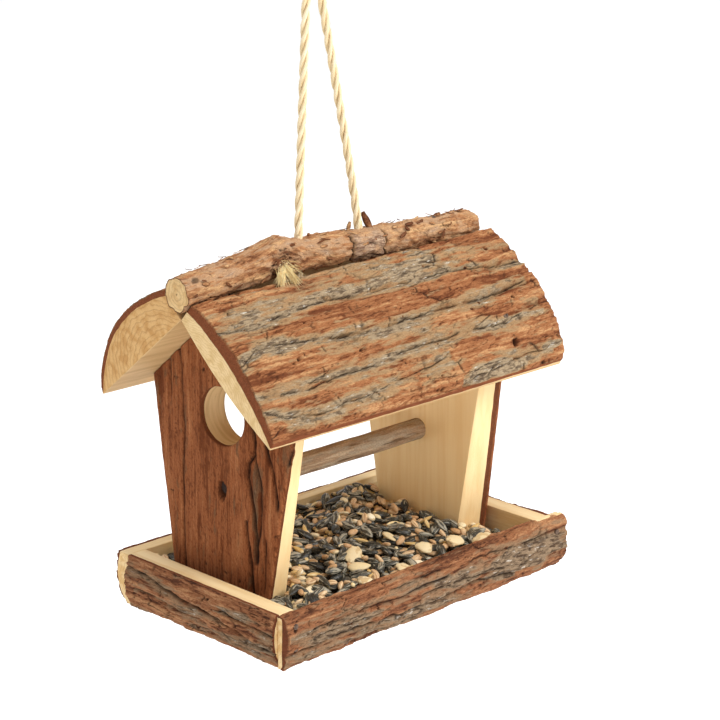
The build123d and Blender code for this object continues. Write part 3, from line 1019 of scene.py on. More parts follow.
roof_slab(
    "front_roof_slab", -1, FRONT_LEFT_END, FRONT_RIGHT_END, FRONT_FURROWS, 7.8, 100, ROOF_STYLE,
    patches=[
        (-20, 10, 90, 10, 0.36), (-95, 19, 16, 3.5, 0.4), (-85, 40, 22, 5, 0.5), (48, 80, 20, 4, 0.5),
        (98, 77, 7, 2, 0.9), (60, 12, 60, 7, 0.24), (-20, 50, 50, 5, 0.25),
    ],
    pits=[(72, 71.5, 1.8, 3.0, 1.1)], bow=3.0, end_wood=front_end_grain,
)
roof_slab(
    "back_roof_slab", 1, BACK_LEFT_END, BACK_RIGHT_END, furrows_for(5, (-110, 108), 85, 17),
    3.4, 400, BACK_STYLE,
    patches=[(0, 9, 150, 9, 0.25), (40, 50, 40, 8, 0.3)],
    pits=[], bow=0.0, end_wood=back_end_grain,
)

# ---------------------------------------------------------------- tray

RIM_GIRTH = 36.0  # about how far it is over a board's bark, from its top edge to its foot


def rim_board(
    name, profile, furrows, seed, bark_depth, patches=(), pits=(),
    far_profile=None, bare_top=0, near_wood=None, lean=0,
):
    """A rim board from its profile: (thickness, height) points from the top edge down to the foot.

    near_wood is how much wood is left under the bark at the end with the smaller X or Y. At the
    other end far_profile is the profile, where it isn't the same, bare_top the length of top edge
    that has lost its bark, and lean how far the top of the end leans out.
    """
    low, high = house_box(name)
    size = high - low
    lengthwise = 0 if size[0] > size[1] else 1
    sideways = 1 - lengthwise
    outwards = 1 if low[sideways] + high[sideways] > 0 else -1
    flat_face = low[sideways] if outwards > 0 else high[sideways]
    along = rows(size[lengthwise], 0.85)
    across = rows(RIM_GIRTH, 0.5)
    run = low[lengthwise] + along * size[lengthwise]
    near, far = smooth_line(profile, across), smooth_line(far_profile or profile, across)
    curve = near + along[:, None, None] * (far - near)
    drop = curve[:, -1:, 1] - curve[:, :1, 1]

    def in_space(thick, height):
        points = np.zeros((len(along), len(across), 3))
        points[..., lengthwise] = run[:, None] + lean * along[:, None] ** 12 * (1 - across) ** 0.5
        points[..., sideways] = flat_face + outwards * thick
        points[..., 2] = height
        return points

    outer = in_space(curve[..., 0], curve[..., 1])
    inner = in_space(0 * across, curve[:, :1, 1] + across * drop)
    s = np.broadcast_to(run[:, None], outer.shape[:2])
    t = np.broadcast_to(across * RIM_GIRTH, outer.shape[:2])
    field = bark(s, t, furrows, seed, TRAY_STYLE, patches, pits)
    lost = 5.0 + 1.6 * noise(s, t, (5, 90), seed + 4)
    bare = ((run[:, None] > high[lengthwise] - bare_top) & (t < lost))[:-1, :-1]
    depth = np.full(s.shape, bark_depth)
    if near_wood is not None:
        left = np.maximum(curve[..., 0] - near_wood, 0.8)
        depth = depth + (left - depth) * (1 - along[:, None]) ** 8
    materials = [tray_bark, sawn_wood, end_grain]
    piece = slab(name + "_bark", outer, inner, s, t, depth, field, materials, bare=bare, fray=0.5)
    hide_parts(name)


LONG_PROFILE = [(8.5, 29), (10.4, 22), (11, 14.5), (8.6, 6), (3, 0)]
FRONT_LEFT_PROFILE = [(0.6, 28.4), (3.0, 28.8), (5.6, 27.4), (7.2, 22), (7.8, 14.5), (6.4, 6), (2.8, 0)]
FRONT_RIGHT_PROFILE = [(0.8, 30.5), (5.4, 31.4), (9.4, 29.4), (11.2, 22), (11.6, 14.5), (9.2, 6), (3.4, 0)]
SHORT_PROFILE = [(12, 29), (14.6, 23), (15.5, 14.5), (13.8, 6), (10.5, 0)]

rim_board(
    "tray_front_board", FRONT_LEFT_PROFILE,
    [([(-100, 17), (-60, 15), (-20, 16), (10, 14)], 1.0),
     ([(-104, 27), (-70, 24), (-44, 26), (-20, 26), (30, 24), (60, 26)], 1.4),
     ([(-60, 31), (-20, 33), (30, 30)], 0.9),
     ([(-30, 11), (0, 10), (50, 12), (104, 13)], 0.9),
     ([(-84, 21), (-58, 20), (-40, 21)], 0.8), ([(-6, 20), (24, 19), (52, 21)], 0.9)],
    700, 4.0,
    patches=[
        (74, 20, 32, 8, 0.7), (-66, 21, 30, 5, 0.4), (-10, 29, 40, 4, 0.35), (20, 17, 26, 4, 0.45),
        (-80, 31, 20, 3, 0.35),
    ],
    pits=[(-98.5, 12.5, 1.2, 0.3, 1.0), (-98.5, 24.5, 1.2, 0.3, 1.0)],
    far_profile=FRONT_RIGHT_PROFILE, bare_top=19.0, near_wood=3.4, lean=2.6,
)
rim_board("tray_back_board", LONG_PROFILE, furrows_for(8, (-105, 105), 34, 10), 740, 1.2)
rim_board(
    "tray_left_board", SHORT_PROFILE,
    [([(-64, 25), (-44, 23), (-20, 17), (10, 14), (54, 7)], 1.5), ([(-64, 14), (-46, 13), (-26, 11)], 1.2),
     ([(-64, 31), (-30, 29), (0, 30)], 1.0), ([(-10, 24), (20, 22), (44, 20)], 0.8)],
    780, 1.6,
    patches=[(-38, 9, 16, 3, 0.35), (-36, 26, 20, 3, 0.35), (0, 19, 12, 3, 0.4), (-58, 20, 8, 5, 0.35)],
)
rim_board("tray_right_board", SHORT_PROFILE, furrows_for(9, (-65, 55), 34, 11), 820, 1.4)

# ---------------------------------------------------------------- gables

HOLE_HEIGHT = 115.0
HOLE_RADIUS = 16.0
GABLE_FOOT = 6.0
GABLE_WIDTH = 96.0  # about how wide a panel is at its widest, for the spacing of its grid
EDGE_ROUNDING = 1.4  # how far the bark falls at a panel's long edges
ROUNDED_SHARE = 2.0 / 45  # the share of half a panel's width over which it falls
# How far a panel reaches to each side of the ridge at height 0, and how much that grows upwards.
GABLE_REACH = (27.26, 0.174)
LEFT_GABLE_BACK = (37.4, 0.150)


def round_hole(y, z, opening):
    """Moves the grid's points round an opening onto the hole's circle, about evenly spaced."""
    beside = {}
    steps = [(np.argwhere(opening[1:] != opening[:-1]) + (1, 0), (0, 1))]
    steps.append((np.argwhere(opening[:, 1:] != opening[:, :-1]) + (0, 1), (1, 0)))
    for firsts, step in steps:
        for first in firsts:
            ends = tuple(first), tuple(first + step)
            beside.setdefault(ends[0], []).append(ends[1])
            beside.setdefault(ends[1], []).append(ends[0])
    loop = [min(beside)]
    while len(loop) < len(beside):
        loop.append(next(point for point in beside[loop[-1]] if point not in loop))
    i, j = np.array(loop).T
    angles = np.unwrap(np.arctan2(z[i, j] - HOLE_HEIGHT, y[i, j]))
    turn = math.copysign(2 * math.pi, angles[-1] - angles[0])
    even = angles[0] + turn * np.arange(len(loop)) / len(loop)
    angles = 0.6 * angles + 0.4 * (even + (angles - even).mean())
    y[i, j] = HOLE_RADIUS * np.cos(angles)
    z[i, j] = HOLE_HEIGHT + HOLE_RADIUS * np.sin(angles)


def gable(name, outwards, log_middle, log_radius, bark_depth, back_reach, furrows, seed, pits, patches=()):
    """An end wall with its round hole, a slab off an upright log. outwards is its way out along X."""
    low, high = house_box(name)
    bark_face, flat_face = (low[0], high[0]) if outwards < 0 else (high[0], low[0])
    up = rows(APEX_HEIGHT - GABLE_FOOT, 1.0)
    over = rows(GABLE_WIDTH, 0.6) * 2 - 1
    reach, growth = (np.where(over < 0, front, back) for front, back in zip(GABLE_REACH, back_reach))
    fall = np.abs(over) * math.tan(ROOF_PITCH)
    top = (APEX_HEIGHT - fall * reach) / (1 + fall * growth)
    z = GABLE_FOOT + up[:, None] * (top[None] - GABLE_FOOT)
    y = over[None] * (reach + growth * z)

    inside = np.hypot(y, z - HOLE_HEIGHT) < HOLE_RADIUS
    opening = inside[:-1, :-1].astype(int) + inside[1:, :-1] + inside[:-1, 1:] + inside[1:, 1:] >= 3
    round_hole(y, z, opening)

    sag = log_radius - np.sqrt(log_radius**2 - (y - log_middle) ** 2)
    outer = np.stack([bark_face - outwards * sag, y, z], -1)
    inner = np.stack([np.full(y.shape, flat_face), y, z], -1)
    field = bark(z, y, furrows, seed, GABLE_STYLE, patches, pits)
    from_hole = np.hypot(y, z - HOLE_HEIGHT) - HOLE_RADIUS
    field["height"] = field["height"] * ramp(0, 3, from_hole)
    field["crack_and_painted_shade"] = field["crack_and_painted_shade"] * ramp(0, 1.5, from_hole)
    from_edge = np.minimum(1.0, (1 - np.abs(over)) / ROUNDED_SHARE)
    field["height"] = field["height"] - EDGE_ROUNDING * (1 - np.sqrt(1 - (1 - from_edge) ** 2))
    thickness = np.abs(outer[..., 0] - inner[..., 0])
    depth = np.minimum(bark_depth, thickness - 1.5)
    materials = [gable_bark, gable_wood, end_grain, bored_wood_painted_shade]
    piece = slab(name + "_bark", outer, inner, z, y, depth, field, materials, opening=opening, fray=0.4)
    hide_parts(name)


gable(
    "left_gable_panel", -1, 25.0, 330.0, 2.6, LEFT_GABLE_BACK,
    [([(10, 31), (22, 31.2), (44, 31.9), (62, 31.9), (77, 31.4), (92, 30), (112, 30.2), (150, 32)], 0.9),
     ([(42, -22.6), (46, -23.1), (58, -22.5), (72, -20.5), (85, -18.3), (93, -18.5), (98, -22),
       (106, -22.7), (118, -20)], 1.7),
     ([(10, -20.4), (19, -20.2), (37, -19.4), (50, -17.1), (58, -16.3)], 1.4),
     ([(52, -24.5), (60, -25.7), (68, -25.8), (85, -25.6), (96, -23)], 1.1),
     ([(74, -36.7), (82, -35.8), (92, -33.9), (104, -30.5)], 1.5),
     ([(99, -44.0), (107, -46.4)], 1.0), ([(24, -28), (52, -29)], 0.6), ([(120, 40), (150, 42)], 0.6)],
    900, [(74.2, 0.6, 2.8, 3.6, 1.7)], [(72, -22.9, 26, 1.6, 0.45)],
)
gable(
    "right_gable_panel", 1, 0.0, 120.0, 6.0, GABLE_REACH, furrows_for(12, (10, 160), 80, 18), 940,
    [(74.4, 0.3, 2.4, 3.2, 1.5)],
)

# ---------------------------------------------------------------- branch and crossbar

BRANCH_STATIONS = [
    (-111.5, 185.3, 9.1),
    (-81.0, 188.5, 9.2),
    (-57.0, 192.2, 9.7),
    (-45.0, 194.4, 10.3),
    (-30.0, 192.0, 9.3),
    (-5.0, 191.4, 8.6),
    (30.0, 190.0, 8.6),
    (65.0, 188.6, 8.8),
    (103.0, 187.2, 9.0),
]
CAP_RINGS = 9


def stick(name, stations, step, around, relief, skin, node):
    """A round stick along X with its bark on, closed by two sawn ends.

    relief gives the fields of bark for grids of x, angle and the points of the bare stick.
    """
    stations = np.array(stations, float)
    length = stations[-1, 0] - stations[0, 0]
    x = stations[0, 0] + rows(length, step) * length
    height, radius = (np.interp(x, stations[:, 0], stations[:, column]) for column in (1, 2))
    for column in (height, radius):
        column[:] = np.convolve(np.pad(column, 8, "edge"), np.hanning(17) / np.hanning(17).sum(), "valid")
    angles = np.linspace(0, 2 * np.pi, around, endpoint=False)
    turn = np.broadcast_to(angles, (len(x), around))
    side = np.stack([0 * turn, np.cos(turn), np.sin(turn)], -1)
    middle = np.stack([x, 0 * x, height], -1)[:, None]
    points = middle + radius[:, None, None] * side
    field = relief(np.broadcast_to(x[:, None], turn.shape), turn, points)
    points = points + field["height"][..., None] * side

    rings = [points.reshape(-1, 3)]
    ids = np.arange(points[..., 0].size).reshape(len(x), around)
    faces = list(round_quads(ids))
    slots = [0] * len(faces)
    values = {key: [np.broadcast_to(field[key], turn.shape).ravel()] for key in ("lichen", "crack_and_painted_shade", "tone")}
    grain = [np.stack([x[:, None] + 0 * turn, turn * radius[:, None], 0 * turn], -1).reshape(-1, 3)]
    cut = [np.zeros(turn.size)]
    count = turn.size
    for end, outwards in ((0, -1), (-1, 1)):
        edge = points[end]
        last = ids[end]
        for ring in range(CAP_RINGS):
            share = 1 - (ring + 1) / (CAP_RINGS + 0.35) if ring else 0.94
            raised = 0.12 * outwards if ring else 0.0
            points_here = middle[end] + share * (edge - middle[end]) + (raised, 0, 0)
            here = count + np.arange(around)
            band = round_quads(np.stack([last, here]))
            faces += list(band if outwards > 0 else band[:, ::-1])
            slots += [1 if ring else 0] * around
            rings.append(points_here)
            for key in values:
                values[key].append(np.full(around, 0.5 if key == "tone" else 0.0))
            grain.append(points_here - middle[end])
            cut.append(np.full(around, float(ring == 0)))
            count += around
            last = here
        faces.append(last if outwards > 0 else last[::-1])
        slots.append(1)
    values = {key: np.concatenate(parts) for key, parts in values.items()}
    values["grain"], values["cut"] = np.concatenate(grain), np.concatenate(cut)
    points, materials = np.concatenate(rings), [skin, stick_end]
    piece = new_piece(name, points, faces, materials, slots, values)
    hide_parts(node)


def branch_relief(x, turn, points):
    """Papery bark in thin uneven layers with painted shadow under their edges, a knot at the bend, and a
    pale cracked flake.
    """
    lumps = 0.6 * noise3(points, (17, 7, 7), 501) + 0.35 * noise3(points, (6, 4, 4), 502)
    bent = points + np.stack([2.4 * noise3(points, (7, 5, 5), 503 + axis) for axis in range(3)], -1)
    layers = 2.8 * noise3(bent, (16, 4.5, 4.5), 507) + 1.1 * noise3(bent, (6, 2.2, 2.2), 508)
    edge = layers - np.floor(layers)
    stepped = np.floor(layers) + ramp(0.8, 0.95, edge)
    ledge = peak(edge - 0.82, 0.07) * ramp(-0.2, 0.5, noise3(points, (9, 5, 5), 509))
    fine = noise3(points, (4.5, 1.0, 1.0), 510) + 0.6 * noise3(points, (1.6, 0.7, 0.7), 511)
    height = lumps + 0.42 * stepped + 0.2 * fine
    # Painted shadow under the edge of each layer.
    crack_and_painted_shade = 0.6 * ledge
    lichen = 0.22 + 0.3 * noise3(points, (20, 5, 5), 512) + 0.25 * noise3(points, (6, 1.8, 1.8), 513)
    # The tone is lighter where the fine relief stands out and darker under each ledge: painted light and
    # shade.
    tone = 0.55 + 0.4 * noise3(points, (24, 5, 5), 514) + 0.2 * fine - 0.15 * ledge

    # The knot at the bend, torn open on the side by the tail of the rope.
    around_knot = np.sqrt(((x + 47) / 9.5) ** 2 + (wrapped(turn - 3.4) / 0.95) ** 2)
    torn = 1 - ramp(0.6, 1.3, around_knot + 0.3 * noise3(points, (4, 3, 3), 515))
    fibre = noise3(bent, (9, 0.9, 0.9), 516)
    height = height + torn * (0.7 * fibre - 0.4) + 0.9 * peak(around_knot - 1.25, 0.4)
    # Painted shade in the grooves between the torn fibres.
    crack_and_painted_shade = np.maximum(crack_and_painted_shade, torn * ramp(0.1, 0.45, -fibre))
    tone = tone - 0.35 * torn
    # A thick flake near the right rope, between two dark cracks that run round the stick.
    front = 1 - ramp(0.9, 1.5, np.abs(wrapped(turn - 3.25)))
    flake = ramp(4.5, 6.5, x) * (1 - ramp(26, 29, x)) * front
    height = height + 1.0 * flake * (0.7 + 0.3 * fine)
    lichen = lichen + 0.36 * flake
    tone = tone + 0.2 * flake
    for place_x, width, seed in ((4.6, 0.8, 521), (28.3, 0.7, 522)):
        line = place_x + 3.0 * noise3(points, (40, 4.2, 4.2), seed)
        mark = peak(x - line, width) * front
        crack_and_painted_shade = np.maximum(crack_and_painted_shade, mark)
        height = height - 1.3 * mark
    for low_x, high_x, turned, seed in ((8, 26, 3.75, 523), (9, 20, 3.0, 524)):
        line = turned + 0.25 * noise(x, turn, (6, 9), seed)
        mark = peak(turn - line, 0.06)
        mark = mark * ramp(low_x, low_x + 2, x) * (1 - ramp(high_x, high_x + 2, x))
        crack_and_painted_shade = np.maximum(crack_and_painted_shade, 0.8 * mark)
        height = height - 0.6 * mark
    # A reddish spot where a twig was, near the left end.
    twig = np.sqrt(((x + 104) / 2.2) ** 2 + (wrapped(turn - 2.3) / 0.2) ** 2)
    crack_and_painted_shade = np.maximum(crack_and_painted_shade, 0.7 * (1 - ramp(0.7, 1.3, twig)))
    height, lichen = np.clip(height, -1.8, 1.8), np.clip(lichen, 0, 1.2)
    return dict(height=height, lichen=lichen, crack_and_painted_shade=np.clip(crack_and_painted_shade, 0, 1), tone=tone)


def wrapped(angle):
    """The same angle between half a turn back and half a turn on."""
    return (angle + np.pi) % (2 * np.pi) - np.pi


def bar_relief(x, turn, points):
    """Smoother bark than the branch's, with fine streaks along the stick and painted shade in their
    grooves.
    """
    streaks = noise3(points, (26, 1.6, 1.6), 531) + 0.6 * noise3(points, (9, 1.0, 1.0), 532)
    lumps = 0.35 * noise3(points, (30, 7, 7), 533)
    # Painted shade in the grooves between the streaks, and a lighter tone on their ridges.
    crack_and_painted_shade = ramp(0.35, 0.7, -streaks) * ramp(0, 0.5, noise3(points, (14, 4, 4), 534))
    tone = 0.5 + 0.35 * noise3(points, (34, 5, 5), 535) + 0.3 * streaks
    lichen = 0.2 + 0.35 * noise3(points, (16, 4, 4), 536)
    height = lumps + 0.22 * streaks - 0.3 * crack_and_painted_shade
    return dict(height=height, lichen=np.clip(lichen, 0, 1), crack_and_painted_shade=0.7 * crack_and_painted_shade, tone=tone)


stick("ridge_branch_bark", BRANCH_STATIONS, 0.62, 92, branch_relief, stick_bark, "ridge_branch")
bar_low, bar_high = house_box("crossbar")
BAR_HEIGHT = (bar_low[2] + bar_high[2]) / 2
BAR_STATIONS = [
    (bar_low[0], BAR_HEIGHT, 6.0),
    (-30, BAR_HEIGHT + 0.3, 5.8),
    (20, BAR_HEIGHT - 0.2, 6.1),
    (bar_high[0], BAR_HEIGHT, 5.9),
]
stick("crossbar_stick", BAR_STATIONS, 0.7, 60, bar_relief, bar_bark, "crossbar")

# ---------------------------------------------------------------- loose bark


def scales(places):
    """Thin curled scales of bark: rows of start, heading, outward normal, length, width and lift."""
    share = np.linspace(0, 1, 7)[:, None]
    turn = np.linspace(0, 2 * np.pi, 10, endpoint=False)[None]
    parts = []
    for start, heading, normal, length, width, lift in places:
        line = start + heading * length * share + normal * (0.1 + lift * share**2)
        half = 0.5 * width * (0.45 + 0.55 * np.sin(np.pi * np.clip(share, 0.1, 0.9)))
        thin = 0.16
        radii = half * thin / np.sqrt((thin * np.cos(turn)) ** 2 + (half * np.sin(turn)) ** 2)
        side = np.cross(heading, normal)
        parts.append(tube(line, side, radii, 10))
    return gathered(parts)


def branch_scales():
    """Peeling scales all over the ridge branch, and three larger ones on top of it."""
    random = np.random.default_rng(51)
    stations = np.array(BRANCH_STATIONS)
    places = []
    for _ in range(150):
        x = random.uniform(-106, 99)
        turn = random.uniform(0, 2 * np.pi)
        if abs(x - LEFT_HOLE) < 5 or abs(x - RIGHT_HOLE) < 5:
            continue
        height, radius = (np.interp(x, stations[:, 0], stations[:, column]) for column in (1, 2))
        normal = np.array((0, math.cos(turn), math.sin(turn)))
        start = np.array((x, 0, height)) + (radius + 0.3) * normal
        round_it = np.cross(normal, (1.0, 0, 0))
        heading = unit(np.array((random.choice((-1, 1)), 0, 0)) + random.normal(0, 0.35) * round_it)
        length = random.uniform(2.0, 6.5)
        places.append((start, heading, normal, length, random.uniform(0.8, 2.6), random.uniform(0.2, 1.1)))
    outwards = unit(np.array((-0.6, -0.76, 0.25)))
    for base, tip, width in (
        ((24.7, -1, 196.4), (18.4, 0, 207.6), 4.0), ((7.4, 0, 198.5), (9.2, 0, 203.8), 2.4),
        ((-20.0, 0, 199.0), (-21.4, 0, 202.4), 2.2),
    ):
        base, tip = np.array(base), np.array(tip)
        places.append((base, unit(tip - base), outwards, np.linalg.norm(tip - base), width, 1.0))
    points, faces = scales(places)
    count = len(points) // len(places)
    tones = np.repeat(random.uniform(-0.1, 0.9, len(places)), count)
    none = 0 * tones
    values = {"tone": tones, "grain": points, "lichen": none + 0.1, "crack_and_painted_shade": none, "cut": none}
    new_piece("branch_scales", points, faces, [stick_bark], None, values)


branch_scales()


def bast_fibres():
    """Torn fibres about the branch's knot, and a few that hang out under the branch in front."""
    random = np.random.default_rng(52)
    count = 90
    turn = random.uniform(2.5, 4.1, count)
    x = random.normal(-46.5, 5.0, count)
    normal = np.stack([0 * turn, np.cos(turn), np.sin(turn)], -1)
    starts = np.stack([x, 0 * x, 0 * x + 193.8], -1) + 10.2 * normal
    headings = [random.choice((-1.0, 1.0), count), -0.2 + 0 * x, random.normal(0, 0.5, count)]
    headings = unit(np.stack(headings, -1) + 0.25 * normal)
    knot_points, knot_faces = fibres(starts, headings, random.uniform(2.5, 7.0, count), 0.3, 0.14, 53)
    more = 16
    x = random.uniform(-10, 70, more)
    starts = np.stack([x, 0 * x - 8.6, 0 * x + 187.5], -1)
    headings = unit(np.stack([random.normal(0, 1, more), 0 * x - 0.6, random.normal(-0.3, 0.3, more)], -1))
    low_points, low_faces = fibres(starts, headings, random.uniform(3.0, 8.0, more), 0.3, 0.12, 54)
    points, faces = gathered([(knot_points, knot_faces), (low_points, low_faces)])
    tones = np.repeat(random.uniform(-0.1, 1.0, count + more), len(points) // (count + more))
    values = {"tone": tones, "grain": points}
    new_piece("bast_fibres", points, faces, [bast_fibre], None, values)


bast_fibres()

# ---------------------------------------------------------------- rope ends

KNOT_HEIGHT = 178.5


def knot(name, x, node, extra=None):
    """The knot that stops a rope end under the branch, with the end that runs up into its hole."""
    rise = np.linspace(0, 1, 36)
    foot, head = KNOT_HEIGHT + 2, SWING_HEIGHT - 3
    run = rise * (head - foot)
    stub = np.stack([x + 0 * rise, 0 * rise, foot + run], -1)
    points, faces, tones, grain = twisted_rope(stub, run, (0.0, 1.0, 0.0), 10)
    turns = np.linspace(0, 2 * np.pi, 150)
    trefoil = [np.sin(turns) + 1.6 * np.sin(2 * turns), np.cos(turns) - 1.6 * np.cos(2 * turns)]
    trefoil = np.stack([*trefoil, -1.2 * np.sin(3 * turns)], -1)
    trefoil = np.array((x, 0, KNOT_HEIGHT)) + 0.82 * trefoil
    angles = np.linspace(0, 2 * np.pi, 12, endpoint=False)
    band = 1.35 * (1 + 0.1 * np.cos(5 * angles[None] + 14 * turns[:, None]))
    wrap = tube(trefoil, (0.1, 0.2, 1.0), band, 12)
    for more in (wrap, extra) if extra else (wrap,):
        points, faces = gathered([(points, faces), more])
        tones = np.concatenate([tones, np.full(len(more[0]), 0.5)])
        grain = np.concatenate([grain, more[0]])
    piece = new_piece(name, points, faces, [rope_fibre], None, {"tone": tones, "grain": grain})
    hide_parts(node)


knot("rope_knot_right", RIGHT_HOLE, "rope_end_right")
TAIL_ROUTE = [(LEFT_HOLE - 3, 0, 179), (-39, -1.5, 179), (-45.5, -6.5, 184), (-47, -8.5, 189)]
tail_line = smooth_line(TAIL_ROUTE, np.linspace(0, 1, 40))
knot("rope_knot_left", LEFT_HOLE, "rope_end_left", tube(tail_line, (0.0, 0.3, 1.0), 1.9, 14))


def frayed_tail():
    """The rope's end combed out into two tufts of straw-coloured fibre."""
    random = np.random.default_rng(31)
    parts, tones = [], []
    top = np.array((-46.8, -8.0, 192.8))
    for tip, share, seed in (
        ((-54.0, -14.0, 180.5), 150, 32), ((-42.0, -14.5, 179.0), 160, 33), ((-38.5, -12.5, 186.5), 24, 34),
    ):
        tip = np.array(tip)
        starts = top + random.normal(0, (1.7, 0.7, 1.0), (share, 3))
        ends = tip + random.normal(0, (1.2, 0.8, 1.5), (share, 3))
        reach = ends - starts
        lengths = np.linalg.norm(reach, axis=1) * random.uniform(0.7, 1.05, share)
        made = fibres(starts, unit(reach), lengths, 0.07, 0.21, seed, joints=6)
        parts.append(made)
        tones.append(np.repeat(random.uniform(0.45, 1.0, share), 18))
    points, faces = gathered(parts)
    tones = np.concatenate(tones)
    values = {"tone": tones, "grain": points}
    new_piece("rope_tail_frayed", points, faces, [tuft_fibre], None, values)


frayed_tail()

# ---------------------------------------------------------------- seed

TRAY_LOW, TRAY_HIGH = (-91.8, -64.0), (91.8, 54.0)
SEED_TOP = ((-64.0, 23.0), (6.0, 30.0), (28.0, 25.5), (54.0, 18.0))
SEED_PILE = (50.0, 34.0, 7.5)
SEED_DEPTH = 5.5
MAP_STEP = 0.5
WALL = 90.0  # the height that stands for a wall, where no seed can lie
# Where the end walls stand along X, with a little room, and the height that their widths are taken at.
LEFT_WALL, RIGHT_WALL = (-85.4, -67.0), (62.5, 92.0)
WALL_LEVEL = 24.0


def seed_level(x, y):
    """Height of the heap: highest between the gables, at a pile by the right one and behind the left."""
    middle = np.interp(y, *zip(*SEED_TOP))
    pile_x, pile_y, pile_height = SEED_PILE
    middle = middle + pile_height * np.exp(-(((x - pile_x) / 20) ** 2) - ((y - pile_y) / 15) ** 2)
    left_well = 21.5 + 3.4 * ramp(0, 40, y)
    return middle - (middle - left_well) * ramp(66, 72, -x) - (middle - 17.0) * ramp(58, 88, x)


def in_gable(x, y):
    """Whether a place in the tray is taken by one of the end walls."""
    side, left_back = (reach + growth * WALL_LEVEL for reach, growth in (GABLE_REACH, LEFT_GABLE_BACK))
    left = (x > LEFT_WALL[0]) & (x < LEFT_WALL[1]) & (y < left_back)
    right = (x > RIGHT_WALL[0]) & (x < RIGHT_WALL[1]) & (y < side)
    return (y > -side) & (left | right)


class SeedBed:
    """Heights over the tray, raised by each seed that is laid on them."""

    def __init__(self, low, high, level):
        self.low, self.high = np.array(low, float), np.array(high, float)
        shape = [int((b - a) / MAP_STEP) + 1 for a, b in zip(low, high)]
        x, y = np.meshgrid(*[a + MAP_STEP * np.arange(n) for a, n in zip(low, shape)], indexing="ij")
        self.heights = level(x, y)

    def cells(self, places):
        index = np.round((places - self.low) / MAP_STEP).astype(int)
        limit = np.array(self.heights.shape) - 1
        return tuple(np.clip(index, 0, limit).T)

    def lay(self, place_at, yaw, size):
        """Lays a seed flat on what is below it. Returns its middle and three directions."""
        length, width, thick = size
        along = np.array((math.cos(yaw), math.sin(yaw)))
        across = np.array((-along[1], along[0]))

        def cells_at(shares):
            spots = place_at + shares[:, :1] * along * length / 2 + shares[:, 1:] * across * width / 2
            return self.cells(spots)

        reach = np.array([(a, b) for a in (-0.8, -0.4, 0, 0.4, 0.8) for b in (-0.6, 0, 0.6)])
        under = self.heights[cells_at(reach)]
        if under.max() > WALL / 2:
            return None
        local = np.column_stack([reach[:, 0] * length / 2, reach[:, 1] * width / 2, np.ones(len(reach))])
        slope_along, slope_across, level = np.linalg.lstsq(local, under, rcond=None)[0]
        slope_along, slope_across = np.clip((slope_along, slope_across), -0.6, 0.6)
        gap = (under - local[:, :2] @ (slope_along, slope_across)).max()
        level = 0.25 * level + 0.75 * gap
        forward = unit(np.array((*along, slope_along)))
        sideways = unit(np.array((*across, slope_across)))
        up = unit(np.cross(forward, sideways))
        sideways = np.cross(up, forward)
        middle = np.array((*place_at, level + 0.42 * thick))
        grid = [(a, b) for a in np.linspace(-1, 1, 9) for b in np.linspace(-1, 1, 7)]
        grid = np.array([(a, b) for a, b in grid if a * a + b * b < 1.02])
        dome = thick / 2 * np.sqrt(np.clip(1 - (grid**2).sum(1), 0, 1))
        rise = grid[:, 0] * length / 2 * slope_along
        top = middle[2] + rise + grid[:, 1] * width / 2 * slope_across + dome
        cells = cells_at(grid)
        self.heights[cells] = np.maximum(self.heights[cells], top)
        return middle, np.stack([forward, sideways, up])


def husk(rings, around, profile, flat=1.0, crease=0.0):
    """A seed of length, width and thickness 1 along X: a tube whose ends close to a point."""
    share = (1 - np.cos(np.linspace(0, np.pi, rings))) / 2
    radius = np.interp(share, *zip(*profile))
    turn = np.linspace(0, 2 * np.pi, around, endpoint=False)
    inwards = 1 - crease * peak(wrapped(turn - np.pi / 2), 0.5)
    y = radius[:, None] * np.cos(turn) * inwards / 2
    z = radius[:, None] * np.sin(turn) * inwards / 2 * flat
    x = np.broadcast_to(share[:, None] - 0.5, y.shape)
    points = np.stack([x, y, z], -1)
    ids = np.arange(rings * around).reshape(rings, around)
    return points.reshape(-1, 3), round_quads(ids)[:, ::-1], np.broadcast_to(turn, y.shape).ravel()


# Outlines of seeds: share of the length, share of the width.
TEARDROP = [
    (0, 0.06), (0.05, 0.3), (0.15, 0.55), (0.35, 0.86), (0.6, 1.0), (0.8, 0.9), (0.93, 0.58), (1, 0.1),
]
OVAL = [(0, 0.05), (0.06, 0.5), (0.2, 0.82), (0.5, 1.0), (0.8, 0.84), (0.94, 0.52), (1, 0.06)]
LONG = [(0, 0.05), (0.1, 0.55), (0.3, 0.9), (0.5, 1.0), (0.75, 0.85), (0.92, 0.45), (1, 0.06)]
ROUND = [(0, 0.05), (0.07, 0.55), (0.2, 0.83), (0.5, 1.0), (0.8, 0.83), (0.93, 0.55), (1, 0.06)]
# Name, material, shape, length, width and thickness in mm, how many.
SEED_KINDS = [
    ("sunflower_seeds", husk_black, husk(12, 12, TEARDROP), (10.8, 5.2, 3.4), 560),
    ("wheat_grains", husk_tan, husk(9, 10, OVAL, crease=0.25), (6.4, 3.5, 3.0), 470),
    ("millet_grains", husk_gold, husk(7, 8, ROUND), (2.6, 2.4, 2.2), 240),
    ("oat_grains", husk_gold, husk(9, 8, LONG, crease=0.2), (10.0, 2.9, 2.1), 110),
    ("maize_bits", husk_cream, husk(9, 10, ROUND), (5.6, 4.6, 2.8), 60),
    ("pumpkin_seeds", husk_cream, husk(10, 12, TEARDROP), (11.5, 6.5, 2.2), 30),
]
# Places of the pale flakes along X and Y, and how far each is turned.
PEANUT_PLACES = [
    (-17, -30, 0.4), (19, -48, 2.4), (41, -50, 0.2), (-6, -58, 0.9),
    (-34, -57, 1.1), (56, -58, 2.8), (-50, -6, 2.0), (-2, 38, 0.5),
]


